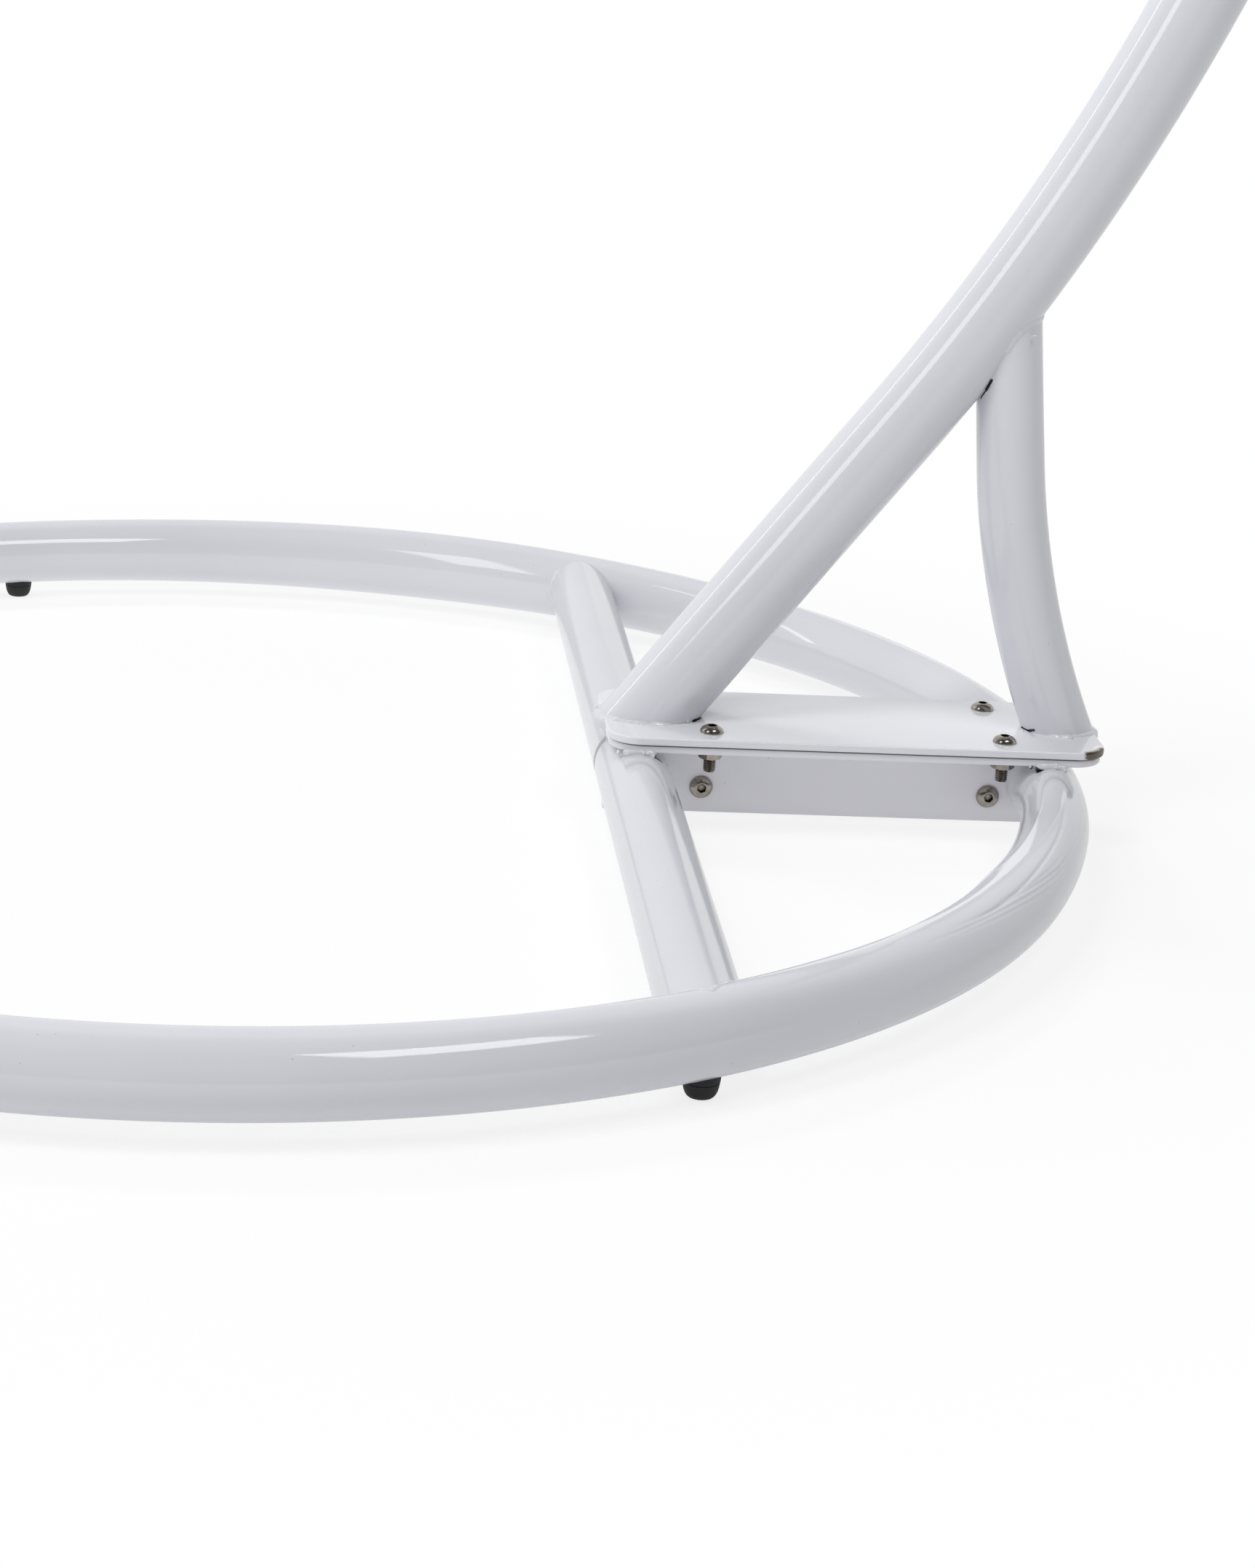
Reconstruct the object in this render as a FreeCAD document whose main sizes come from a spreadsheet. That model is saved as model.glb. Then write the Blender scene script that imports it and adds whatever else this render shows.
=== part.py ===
import FreeCAD, Part
import Sketcher
import math
import os

# Stand of a hanging chair: knock-down base ring with cross legs, bolted plates, curved mast, hook.
# Frame: millimetres, +Z up, floor at z = 0, mast plane at y = 0, mast on the +X side.

SIZES = {
    # base ring and cross legs
    "ring_radius": 508.5,
    "ring_tube": 45.0,
    "ring_wall": 2.5,
    "ring_shift": -78.0,
    "leg_inset": 19.2,
    "leg_tube": 45.0,
    "leg_wall": 2.5,
    # plates between the base and the mast
    "plate_overhang": 10.0,
    "plate_length": 308.0,
    "plate_width": 109.0,
    "plate_corner": 20.0,
    "mast_plate": 5.0,
    "base_plate": 5.0,
    "base_plate_inset": 1.5,
    "web_plate": 4.0,
    "web_height": 52.0,
    "web_start_inset": 6.5,
    "web_end_inset": 1.5,
    "plate_gap": 0.5,
    # mast and brace
    "mast_tube": 51.0,
    "mast_wall": 1.5,
    "mast_foot": 29.0,
    "mast_angle": 53.0,
    "mast_straight": 230.0,
    "mast_low_radius": 1392.0,
    "mast_low_end_angle": 72.0,
    "mast_top_radius": 1000.0,
    "mast_split_angle": 100.0,
    "mast_top_end_angle": 160.2,
    "brace_tube": 42.0,
    "brace_wall": 1.5,
    "brace_radius": 575.0,
    "brace_foot": 22.0,
    "brace_lean_angle": 24.2,
    "brace_top_angle": 97.0,
    # inner sleeves of the two tube joints
    "sleeve_wall": 2.0,
    "sleeve_reach": 80.0,
    "sleeve_play": 0.5,
    # metric fasteners
    "plate_bolt": 8.0,
    "plate_bolt_length": 25.0,
    "plate_bolt_first": 64.0,
    "plate_bolt_pitch": 181.5,
    "plate_bolt_side": 36.0,
    "web_bolt_length": 18.0,
    "web_bolt_rise": 16.5,
    "joint_bolt": 6.0,
    "joint_bolt_grip": 8.0,
    "hole_play": 0.4,
    # feet
    "foot_top": 20.0,
    "foot_bottom": 14.5,
    "foot_height": 10.5,
    "foot_first_angle": 60.5,
    "foot_step_angle": 48.7,
    "foot_screw": 4.0,
    "foot_screw_head": 8.0,
    "foot_recess": 4.0,
    # end cap and hanging hook
    "cap_lip": 3.0,
    "cap_plug": 15.0,
    "eye_ring": 15.0,
    "eye_rod": 8.0,
    "eye_setback": 26.0,
    "loop_ring": 13.0,
    "loop_rod": 7.0,
    "swivel_pin": 6.0,
    "swivel_collar": 15.0,
    "swivel_head": 10.0,
    "hook_ring": 21.0,
    "hook_rod": 10.0,
    "gate_rod": 8.0,
    "gate_above_angle": 55.0,
    "gate_below_angle": 30.0,
    "gate_pin": 3.0,
    "tongue": 4.0,
    "ear": 2.4,
    "running_play": 0.03,
    "touch_play": 0.15,
    "free_play": 0.3,
}

doc = FreeCAD.newDocument("hanging_chair_stand")
sheet = doc.addObject("Spreadsheet::Sheet", "dims")
for row, (alias, number) in enumerate(SIZES.items(), start=1):
    sheet.set("A%d" % row, alias)
    sheet.set("B%d" % row, str(number))
    sheet.setAlias("B%d" % row, alias)
doc.recompute()


class Values:
    """The sheet's cells, read by name."""

    def __getattr__(self, alias):
        return float(sheet.get(alias))


v = Values()
V = FreeCAD.Vector
Turn = FreeCAD.Rotation
AXIS_X = V(1, 0, 0)
AXIS_Y = V(0, 1, 0)
AXIS_Z = V(0, 0, 1)
UPRIGHT = Turn()
ALONG_Y = Turn(AXIS_X, -90)
nodes = []


def bind(obj, **sizes):
    for name, expression in sizes.items():
        obj.setExpression(name, expression)
    return obj


def place(obj, base, turn=UPRIGHT):
    obj.Placement = FreeCAD.Placement(base, turn)
    return obj


def cylinder(radius, height, base, turn=UPRIGHT):
    obj = doc.addObject("Part::Cylinder", "Cylinder")
    return place(bind(obj, Radius=radius, Height=height), base, turn)


def cone(radius1, radius2, height, base, turn=UPRIGHT):
    obj = doc.addObject("Part::Cone", "Cone")
    return place(bind(obj, Radius1=radius1, Radius2=radius2, Height=height), base, turn)


def box(length, width, height, base, turn=UPRIGHT):
    obj = doc.addObject("Part::Box", "Box")
    return place(bind(obj, Length=length, Width=width, Height=height), base, turn)


def torus(ring, rod, sweep, base, turn=UPRIGHT):
    obj = doc.addObject("Part::Torus", "Torus")
    obj.Angle1 = -180
    obj.Angle2 = 180
    return place(bind(obj, Radius1=ring, Radius2=rod, Angle3=sweep), base, turn)


def fuse(shapes):
    if len(shapes) == 1:
        return shapes[0]
    obj = doc.addObject("Part::MultiFuse", "Fusion")
    obj.Shapes = shapes
    return obj


def cut(base, tools):
    obj = doc.addObject("Part::Cut", "Cut")
    obj.Base = base
    obj.Tool = fuse(tools)
    return obj


def node(obj, label):
    obj.Label = label
    nodes.append(obj)
    return obj


def group(shape, poses, label):
    """One node of equal, separate pieces at the given placements."""
    doc.recompute()
    pieces = []
    for pose in poses:
        piece = shape.Shape.copy()
        piece.Placement = pose.multiply(piece.Placement)
        pieces.append(piece)
    obj = doc.addObject("Part::Feature", label)
    obj.Shape = Part.makeCompound(pieces)
    return node(obj, label)


def bend_turn(angle):
    """Turn of a bend in the mast plane whose sweep starts at this angle from +X."""
    return Turn(V(0, -1, 0), angle).multiply(Turn(AXIS_X, 90))


def along(angle):
    """Turn that points a cylinder along a direction in the mast plane."""
    return Turn(V(0, -1, 0), angle).multiply(Turn(AXIS_Y, 90))


def polar(radius, angle):
    return V(radius * math.cos(math.radians(angle)), 0, radius * math.sin(math.radians(angle)))


def hex_bolt_master(size, length, label):
    """Button head bolt with a hexagon socket, head underside at z = 0, shank down."""
    shank = cylinder("dims.%s / 2" % size, length, V(0, 0, 0), Turn(AXIS_X, 180))
    head = cone("0.875 * dims.%s" % size, "0.52 * dims.%s" % size, "0.54 * dims.%s" % size, V(0, 0, 0))
    rim = cylinder("0.875 * dims.%s" % size, "0.12 * dims.%s" % size, V(0, 0, 0))
    socket = doc.addObject("Part::Prism", "Socket")
    socket.Polygon = 6
    bind(socket, Circumradius="0.36 * dims.%s" % size, Height="dims.%s" % size)
    socket.Placement.Base = V(0, 0, 0.22 * float(sheet.get(size)))
    bolt = cut(fuse([shank, head, rim]), [socket])
    bolt.Label = label
    return bolt


def hex_nut_master(size, label):
    """Hexagon nut, seat at z = 0, body down, thread as a plain bore."""
    outline = doc.addObject("Part::Prism", "Nut")
    outline.Polygon = 6
    bind(outline, Circumradius="0.938 * dims.%s" % size, Height="0.8 * dims.%s" % size)
    outline.Placement = FreeCAD.Placement(V(0, 0, 0), Turn(AXIS_X, 180))
    bore = cylinder("dims.%s / 2 + dims.touch_play" % size, "2 * dims.%s" % size,
                    V(0, 0, -1.5 * float(sheet.get(size))))
    nut = cut(outline, [bore])
    nut.Label = label
    return nut


# heights and places that several pieces share
ring_rise = v.ring_tube / 2 + v.foot_height
plate_under = ring_rise + v.ring_tube / 2 + v.plate_gap
plate_seam = plate_under + v.base_plate
plate_top = plate_seam + v.mast_plate
centre = V(v.ring_shift, 0, ring_rise)
plate_end = v.ring_shift + v.ring_radius + v.ring_tube / 2 + v.plate_overhang
plate_start = plate_end - v.plate_length
leg_x = plate_start + v.leg_inset
ring_end = "dims.ring_radius + dims.ring_tube / 2"
leg_offset = "(%s + dims.plate_overhang - dims.plate_length + dims.leg_inset)" % ring_end
bolt_xs = [plate_start + v.plate_bolt_first, plate_start + v.plate_bolt_first + v.plate_bolt_pitch]
web_bolt_z = plate_under - v.web_height + v.web_bolt_rise
sides = {"front": -1, "back": 1}

# base ring in two halves, open at the web and joined by a sleeve at the far side
foot_angles = [v.foot_first_angle + step * v.foot_step_angle for step in range(3)]
far_screw = math.degrees(v.sleeve_reach / 2 / v.ring_radius)


def half_turn(side):
    return UPRIGHT if side > 0 else Turn(AXIS_X, 180)


def on_ring(angle, side, height):
    return centre + V(v.ring_radius * math.cos(math.radians(angle)),
                      side * v.ring_radius * math.sin(math.radians(angle)), height)


for name, side in sides.items():
    outer = torus("dims.ring_radius", "dims.ring_tube / 2", "180", centre, half_turn(side))
    ring_bore = "dims.ring_tube / 2 - dims.ring_wall"
    inner = torus("dims.ring_radius", ring_bore, "180", centre, half_turn(side))
    web_room = box("dims.ring_tube * 3", "2 * dims.web_plate", "dims.ring_tube * 2",
                   centre + V(v.ring_radius - 1.5 * v.ring_tube, -v.web_plate, -v.ring_tube))
    tools = [inner, web_room]
    for angle in foot_angles:
        tools.append(cylinder("dims.foot_screw / 2 + dims.touch_play", "dims.ring_tube / 2",
                              on_ring(angle, side, -0.75 * v.ring_tube)))
    tools.append(cylinder("dims.joint_bolt / 2 + dims.hole_play", "dims.ring_tube / 2",
                          on_ring(180 - far_screw, side, -0.75 * v.ring_tube)))
    node(cut(outer, tools), "ring_%s_half" % name)

sleeve_angle = math.degrees(v.sleeve_reach / v.ring_radius)
sleeve_turn = Turn(AXIS_Z, 180 - sleeve_angle)
ring_sleeve_rod = "dims.ring_tube / 2 - dims.ring_wall - dims.sleeve_play"
ring_sweep = "2 * dims.sleeve_reach / dims.ring_radius * 180 / pi"
sleeve_outer = torus("dims.ring_radius", ring_sleeve_rod, ring_sweep, centre, sleeve_turn)
ring_sleeve_bore = ring_sleeve_rod + " - dims.sleeve_wall"
sleeve_inner = torus("dims.ring_radius", ring_sleeve_bore, ring_sweep, centre, sleeve_turn)
sleeve_taps = [cylinder("dims.joint_bolt / 2 + dims.touch_play", "dims.ring_tube / 2",
                        on_ring(180 - far_screw, side, -0.75 * v.ring_tube)) for side in sides.values()]
node(cut(sleeve_outer, [sleeve_inner] + sleeve_taps), "ring_joint_sleeve")
ring_screw = hex_bolt_master("joint_bolt", "dims.joint_bolt_grip", "ring_joint_screw")
under = Turn(AXIS_X, 180)
group(ring_screw, [FreeCAD.Placement(on_ring(180 - far_screw, side, -v.ring_tube / 2), under)
                   for side in sides.values()], "ring_joint_screws")

# cross legs, coped onto the ring at one end and flat on the web at the other
leg_length = "sqrt(dims.ring_radius ^ 2 - %s ^ 2) - dims.web_plate" % leg_offset


def leg_rod(radius, side):
    """Round bar on a leg's axis from the web to the ring's axis."""
    start = V(leg_x, side * v.web_plate, ring_rise)
    return cylinder(radius, leg_length, start, Turn(AXIS_X, -90 * side))


for name, side in sides.items():
    outer = leg_rod("dims.leg_tube / 2", side)
    inner = leg_rod("dims.leg_tube / 2 - dims.leg_wall", side)
    cope_rod = "dims.ring_tube / 2 + dims.touch_play"
    cope = torus("dims.ring_radius", cope_rod, "180", centre, half_turn(side))
    node(cut(outer, [inner, cope]), "leg_%s" % name)

# web plates, back to back in the mast plane
for name, side in sides.items():
    low = V(leg_x - v.leg_tube / 2 + v.web_start_inset, min(0, side * v.web_plate),
            plate_under - v.web_height)
    web_reach = "%s - %s + dims.leg_tube / 2" % (ring_end, leg_offset)
    plate = box(web_reach + " - dims.web_start_inset - dims.web_end_inset", "dims.web_plate",
                "dims.web_height", low)
    holes = [cylinder("dims.plate_bolt / 2 + dims.hole_play", "4 * dims.web_plate",
                      V(x, -2 * v.web_plate, web_bolt_z), ALONG_Y) for x in bolt_xs]
    node(cut(plate, holes), "web_%s" % name)


# flange plates as sketched bodies
def origin_plane(body, role):
    return [f for f in body.Origin.OriginFeatures if f.Role == role][0]


def flat_sketch(body, name):
    sketch = body.newObject("Sketcher::SketchObject", name)
    sketch.AttachmentSupport = [(origin_plane(body, "XY_Plane"), "")]
    sketch.MapMode = "FlatFace"
    return sketch


def measure(sketch, kind, ends, number, name, expression):
    """Adds a named dimension to a sketch and binds it to the sheet."""
    index = sketch.addConstraint(Sketcher.Constraint(kind, *ends, number))
    sketch.renameConstraint(index, name)
    sketch.setExpression("Constraints." + name, expression)


def plate_body(label, corner, length, width, thickness, rounded, holes):
    """Padded rectangle from its low corner, with rounded corners and bolt holes.

    length, width and thickness are pairs of a number and its expression, rounded lists the
    outline corners to round, and holes lists (x, x expression, y, y expression).
    """
    body = doc.addObject("PartDesign::Body", label)
    outline = flat_sketch(body, label + "_outline")
    points = [V(0, 0, 0), V(length[0], 0, 0), V(length[0], width[0], 0), V(0, width[0], 0)]
    for i in range(4):
        outline.addGeometry(Part.LineSegment(points[i], points[(i + 1) % 4]), False)
    for i in range(4):
        outline.addConstraint(Sketcher.Constraint("Coincident", i, 2, (i + 1) % 4, 1))
        outline.addConstraint(Sketcher.Constraint("Horizontal" if i % 2 == 0 else "Vertical", i))
    outline.addConstraint(Sketcher.Constraint("Coincident", 0, 1, -1, 1))
    measure(outline, "DistanceX", (0, 1, 0, 2), length[0], "long", length[1])
    measure(outline, "DistanceY", (1, 1, 1, 2), width[0], "wide", width[1])
    pad = body.newObject("PartDesign::Pad", label + "_pad")
    pad.Profile = outline
    bind(pad, Length=thickness[1])
    body.Tip = pad
    doc.recompute()
    corners = []
    for number, edge in enumerate(pad.Shape.Edges, start=1):
        first, last = edge.Vertexes[0].Point, edge.Vertexes[-1].Point
        upright = abs(first.z - last.z) > thickness[0] / 2
        if upright and any((V(first.x, first.y, 0) - points[i]).Length < 0.01 for i in rounded):
            corners.append("Edge%d" % number)
    fillet = body.newObject("PartDesign::Fillet", label + "_corners")
    fillet.Base = (pad, corners)
    bind(fillet, Radius="dims.plate_corner")
    body.Tip = fillet
    doc.recompute()
    drilled = flat_sketch(body, label + "_holes")
    for i, (x, x_expression, y, y_expression) in enumerate(holes):
        drilled.addGeometry(Part.Circle(V(x, y, 0), AXIS_Z, v.plate_bolt / 2 + v.hole_play), False)
        measure(drilled, "Radius", (i,), v.plate_bolt / 2 + v.hole_play, "bore%d" % i,
                "dims.plate_bolt / 2 + dims.hole_play")
        measure(drilled, "DistanceX", (-1, 1, i, 3), x, "along%d" % i, x_expression)
        measure(drilled, "DistanceY", (-1, 1, i, 3), y, "across%d" % i, y_expression)
    pocket = body.newObject("PartDesign::Pocket", label + "_pocket")
    pocket.Profile = drilled
    pocket.Type = "ThroughAll"
    pocket.Reversed = True
    body.Tip = pocket
    doc.recompute()
    if pocket.Shape.Volume > fillet.Shape.Volume - 1:
        raise RuntimeError(label + ": bolt holes cut nothing")
    body.Placement.Base = corner
    return node(body, label)


near_x = ("dims.plate_bolt_first", "dims.plate_bolt_first + dims.plate_bolt_pitch")
half = v.plate_width / 2
top_holes = []
for i in range(2):
    x = v.plate_bolt_first + i * v.plate_bolt_pitch
    top_holes.append((x, near_x[i], half - v.plate_bolt_side,
                      "dims.plate_width / 2 - dims.plate_bolt_side"))
    top_holes.append((x, near_x[i], half + v.plate_bolt_side,
                      "dims.plate_width / 2 + dims.plate_bolt_side"))
plate_body("mast_flange", V(plate_start, -half, plate_seam), (v.plate_length, "dims.plate_length"),
           (v.plate_width, "dims.plate_width"), (v.mast_plate, "dims.mast_plate"), (0, 1, 2, 3),
           top_holes)

inset = v.base_plate_inset
base_length = (v.plate_length - 2 * inset, "dims.plate_length - 2 * dims.base_plate_inset")
base_width = (half - inset, "dims.plate_width / 2 - dims.base_plate_inset")
for name, side in sides.items():
    base_holes = []
    for i in range(2):
        x = v.plate_bolt_first + i * v.plate_bolt_pitch - inset
        x_expression = near_x[i] + " - dims.base_plate_inset"
        if side > 0:
            base_holes.append((x, x_expression, v.plate_bolt_side, "dims.plate_bolt_side"))
        else:
            base_holes.append((x, x_expression, half - inset - v.plate_bolt_side,
                               "dims.plate_width / 2 - dims.base_plate_inset - dims.plate_bolt_side"))
    low_y = 0 if side > 0 else inset - half
    plate_body("base_flange_%s" % name, V(plate_start + inset, low_y, plate_under), base_length, base_width,
               (v.base_plate, "dims.base_plate"), (2, 3) if side > 0 else (0, 1), base_holes)

# mast: straight foot, wide bend, tighter bend over the ring, split for packing
foot = V(plate_start + v.mast_foot, 0, plate_top)
foot_axis = polar(1, v.mast_angle)
bend_start = foot + polar(v.mast_straight, v.mast_angle)
low_centre = bend_start + polar(v.mast_low_radius, v.mast_angle + 90)
low_end = low_centre + polar(v.mast_low_radius, v.mast_low_end_angle - 90)
top_centre = low_end + polar(v.mast_top_radius, v.mast_low_end_angle + 90)
tip = top_centre + polar(v.mast_top_radius, v.mast_top_end_angle - 90)


def mast_tools(rod):
    """Straight foot and bends of the lower mast with this rod radius."""
    straight = cylinder(rod, "dims.mast_straight + dims.mast_tube", foot - foot_axis * v.mast_tube,
                        along(v.mast_angle))
    low = torus("dims.mast_low_radius", rod, "dims.mast_low_end_angle - dims.mast_angle", low_centre,
                bend_turn(v.mast_angle - 90))
    high = torus("dims.mast_top_radius", rod, "dims.mast_split_angle - dims.mast_low_end_angle", top_centre,
                 bend_turn(v.mast_low_end_angle - 90))
    return [straight, low, high]


def top_bend(rod, start, sweep):
    return torus("dims.mast_top_radius", rod, sweep, top_centre, bend_turn(start - 90))


def on_mast(angle, drop=0):
    """Point of the upper bend's axis at a heading, moved towards the bend's centre by drop."""
    return top_centre + polar(v.mast_top_radius - drop, angle - 90)


mast_rod = "dims.mast_tube / 2"
mast_bore = "dims.mast_tube / 2 - dims.mast_wall"
joint_step = math.degrees(v.sleeve_reach / 2 / v.mast_top_radius)
joint_angles = [v.mast_split_angle - joint_step, v.mast_split_angle + joint_step]


def joint_hole(angle, radius):
    length = "2 * dims.mast_tube"
    return cylinder(radius, length, on_mast(angle) - AXIS_Y * v.mast_tube, ALONG_Y)


clear_bolt = "dims.joint_bolt / 2 + dims.hole_play"
below_flange = box("4 * dims.mast_tube", "2 * dims.mast_tube", "2 * dims.mast_tube",
                   foot + V(-2 * v.mast_tube, -v.mast_tube, -2 * v.mast_tube))
lower_hole = joint_hole(joint_angles[0], clear_bolt)
node(cut(fuse(mast_tools(mast_rod)), mast_tools(mast_bore) + [below_flange, lower_hole]), "mast_lower")
upper_sweep = "dims.mast_top_end_angle - dims.mast_split_angle"
upper_bore = top_bend(mast_bore, v.mast_split_angle, upper_sweep)
upper_hole = joint_hole(joint_angles[1], clear_bolt)
node(cut(top_bend(mast_rod, v.mast_split_angle, upper_sweep), [upper_bore, upper_hole]), "mast_upper")

mast_sleeve = mast_bore + " - dims.sleeve_play"
mast_sleeve_sweep = "2 * dims.sleeve_reach / dims.mast_top_radius * 180 / pi"
sleeve_start = v.mast_split_angle - math.degrees(v.sleeve_reach / v.mast_top_radius)
node(cut(top_bend(mast_sleeve, sleeve_start, mast_sleeve_sweep),
         [top_bend(mast_sleeve + " - dims.sleeve_wall", sleeve_start, mast_sleeve_sweep)]
         + [joint_hole(angle, clear_bolt) for angle in joint_angles]), "mast_joint_sleeve")
joint_bolt = hex_bolt_master("joint_bolt", "dims.mast_tube + 2 * dims.joint_bolt", "mast_joint_bolt")
joint_nut = hex_nut_master("joint_bolt", "mast_joint_nut")
to_front = Turn(AXIS_X, 90)
group(joint_bolt, [FreeCAD.Placement(on_mast(angle) - AXIS_Y * (v.mast_tube / 2), to_front)
                   for angle in joint_angles], "mast_joint_bolts")
group(joint_nut, [FreeCAD.Placement(on_mast(angle) + AXIS_Y * (v.mast_tube / 2), to_front)
                  for angle in joint_angles], "mast_joint_nuts")

# brace, curved the other way up to a straight top, coped onto the mast and flat on the flange
brace_foot = V(plate_end - v.brace_foot, 0, plate_top)
brace_centre = brace_foot + polar(v.brace_radius, v.brace_lean_angle)
brace_straight = brace_centre + polar(v.brace_radius, 90 + v.brace_top_angle)


def outside_mast(point):
    """Distance of a point of the mast plane from the lower mast's axis, positive on the brace's side."""
    if (point - foot).dot(foot_axis) < v.mast_straight:
        return (point - foot).dot(polar(1, v.mast_angle - 90))
    return (point - low_centre).Length - v.mast_low_radius


def brace_meeting():
    """Length of the brace's straight top up to the mast's axis, found by halving."""
    on_brace_side = 0
    past_mast = v.brace_radius
    for _ in range(40):
        middle = (on_brace_side + past_mast) / 2
        if outside_mast(brace_straight + polar(middle, v.brace_top_angle)) > 0:
            on_brace_side = middle
        else:
            past_mast = middle
    return on_brace_side


brace_length = "%.9g" % brace_meeting()


def brace_tools(rod):
    """Bend and straight top of the brace with this rod radius."""
    bend = torus("dims.brace_radius", rod, "90 + 1.25 * dims.brace_lean_angle - dims.brace_top_angle",
                 brace_centre, bend_turn(90 + v.brace_top_angle))
    straight = cylinder(rod, brace_length, brace_straight, along(v.brace_top_angle))
    return [bend, straight]


under_brace = box("4 * dims.brace_tube", "2 * dims.brace_tube", "3 * dims.brace_tube",
                  brace_foot + V(-2 * v.brace_tube, -v.brace_tube, -3 * v.brace_tube))
brace_cuts = brace_tools("dims.brace_tube / 2 - dims.brace_wall") + [under_brace]
brace_cuts += mast_tools("dims.mast_tube / 2 + dims.touch_play")
node(cut(fuse(brace_tools("dims.brace_tube / 2")), brace_cuts), "brace")

# bolts and nuts of the plates
plate_bolt = hex_bolt_master("plate_bolt", "dims.plate_bolt_length", "flange_bolt")
plate_nut = hex_nut_master("plate_bolt", "flange_nut")
bolt_spots = [V(x, side * v.plate_bolt_side, 0) for x in bolt_xs for side in sides.values()]
group(plate_bolt, [FreeCAD.Placement(spot + AXIS_Z * plate_top, UPRIGHT) for spot in bolt_spots],
      "flange_bolts")
group(plate_nut, [FreeCAD.Placement(spot + AXIS_Z * plate_under, UPRIGHT) for spot in bolt_spots],
      "flange_nuts")
web_bolt = hex_bolt_master("plate_bolt", "dims.web_bolt_length", "web_bolt")
group(web_bolt, [FreeCAD.Placement(V(x, -v.web_plate, web_bolt_z), to_front) for x in bolt_xs],
      "web_bolts")
group(plate_nut, [FreeCAD.Placement(V(x, v.web_plate, web_bolt_z), to_front) for x in bolt_xs],
      "web_nuts")

# rubber feet under the ring and the legs' ends, each held by a sunk screw
foot_spots = [on_ring(angle, side, 0) for angle in foot_angles for side in sides.values()]
foot_cones = []
for spot in foot_spots:
    base = V(spot.x, spot.y, 0)
    rise = "dims.foot_height + dims.ring_tube / 8"
    cup = cone("dims.foot_bottom / 2", "dims.foot_top / 2", rise, base)
    shank_hole = cylinder("dims.foot_screw / 2 + dims.touch_play", "dims.ring_tube", base)
    recess = cylinder("dims.foot_screw_head / 2 + dims.free_play", "dims.foot_recess", base)
    foot_cones.append(cut(cup, [shank_hole, recess]))
full_ring = torus("dims.ring_radius", "dims.ring_tube / 2 + dims.touch_play", "360", centre)
leg_rods = [leg_rod("dims.leg_tube / 2 + dims.touch_play", side) for side in sides.values()]
node(cut(fuse(foot_cones), [full_ring] + leg_rods), "feet")
screw = fuse([cylinder("dims.foot_screw_head / 2", "dims.foot_screw_head / 3", V(0, 0, 0)),
              cylinder("dims.foot_screw / 2", "dims.foot_height + dims.foot_screw", V(0, 0, 0))])
screw_seat = v.foot_recess - v.foot_screw_head / 3
group(screw, [FreeCAD.Placement(V(spot.x, spot.y, screw_seat), UPRIGHT) for spot in foot_spots],
      "foot_screws")

# plug in the mast's end
cap_turn = along(v.mast_top_end_angle)
lip = cylinder(mast_rod, "dims.cap_lip", tip, cap_turn)
plug_start = tip - polar(v.cap_plug, v.mast_top_end_angle)
plug = cylinder(mast_sleeve, "dims.cap_plug + dims.cap_lip", plug_start, cap_turn)
node(fuse([lip, plug]), "mast_end_cap")

# eye welded under the mast's end
eye_angle = v.mast_top_end_angle - math.degrees(v.eye_setback / v.mast_top_radius)
eye = on_mast(eye_angle) - AXIS_Z * (v.mast_tube / 2 + v.eye_ring - v.eye_rod / 4)
eye_ring = torus("dims.eye_ring", "dims.eye_rod / 2", "360", eye, Turn(AXIS_X, 90))
mast_room = top_bend("dims.mast_tube / 2 + dims.touch_play", v.mast_split_angle, upper_sweep)
node(cut(eye_ring, [mast_room]), "hanger_eye")

# swivel loop that hangs in the eye
eye_rod = v.eye_rod / 2
loop_rod = v.loop_rod / 2
swing_axis = eye - AXIS_Z * v.eye_ring
loop = swing_axis + AXIS_Z * (eye_rod + loop_rod + v.free_play - v.loop_ring)
loop_ring = torus("dims.loop_ring", "dims.loop_rod / 2", "360", loop, Turn(AXIS_Y, 90))
collar_low = loop - AXIS_Z * (v.loop_ring + 2.5 * loop_rod)
collar_height = "1.75 * dims.loop_rod"
collar = cylinder("dims.swivel_collar / 2", collar_height, collar_low)
collar_top = collar_low + AXIS_Z * 1.75 * v.loop_rod
pin_bore = cylinder("dims.swivel_pin / 2 + dims.running_play", "4 * dims.loop_rod",
                    collar_low - AXIS_Z * v.loop_rod)
loop_room = cylinder("dims.swivel_head / 2 + dims.free_play", "dims.loop_ring", collar_top)
node(cut(fuse([loop_ring, collar]), [pin_bore, loop_room]), "swivel_loop")

# hook with its swivel pin
hook_rod = v.hook_rod / 2
hook_centre = collar_low - AXIS_Z * (v.hook_ring + hook_rod + v.swivel_pin)
pin_length = "1.75 * dims.loop_rod + dims.swivel_pin + dims.hook_rod / 2 + dims.free_play"
pin = cylinder("dims.swivel_pin / 2", pin_length, hook_centre + AXIS_Z * v.hook_ring)
head = cylinder("dims.swivel_head / 2", "dims.swivel_pin / 3", collar_top + AXIS_Z * v.free_play)
neck_low = hook_centre + AXIS_Z * v.hook_ring
neck_rise = "dims.hook_rod / 2 + dims.swivel_pin - dims.free_play"
neck = cone("0.9 * dims.swivel_collar / 2", "dims.swivel_collar / 2", neck_rise, neck_low)
bow = torus("dims.hook_ring", "dims.hook_rod / 2", "360 - dims.gate_above_angle - dims.gate_below_angle",
            hook_centre, bend_turn(v.gate_above_angle))
bow_end = hook_centre + polar(v.hook_ring, v.gate_above_angle)
pivot = bow_end + polar(0.75 * v.hook_rod, v.gate_above_angle - 90)
gate_tip = hook_centre + polar(v.hook_ring, -v.gate_below_angle)
gate_line = gate_tip - pivot
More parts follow.
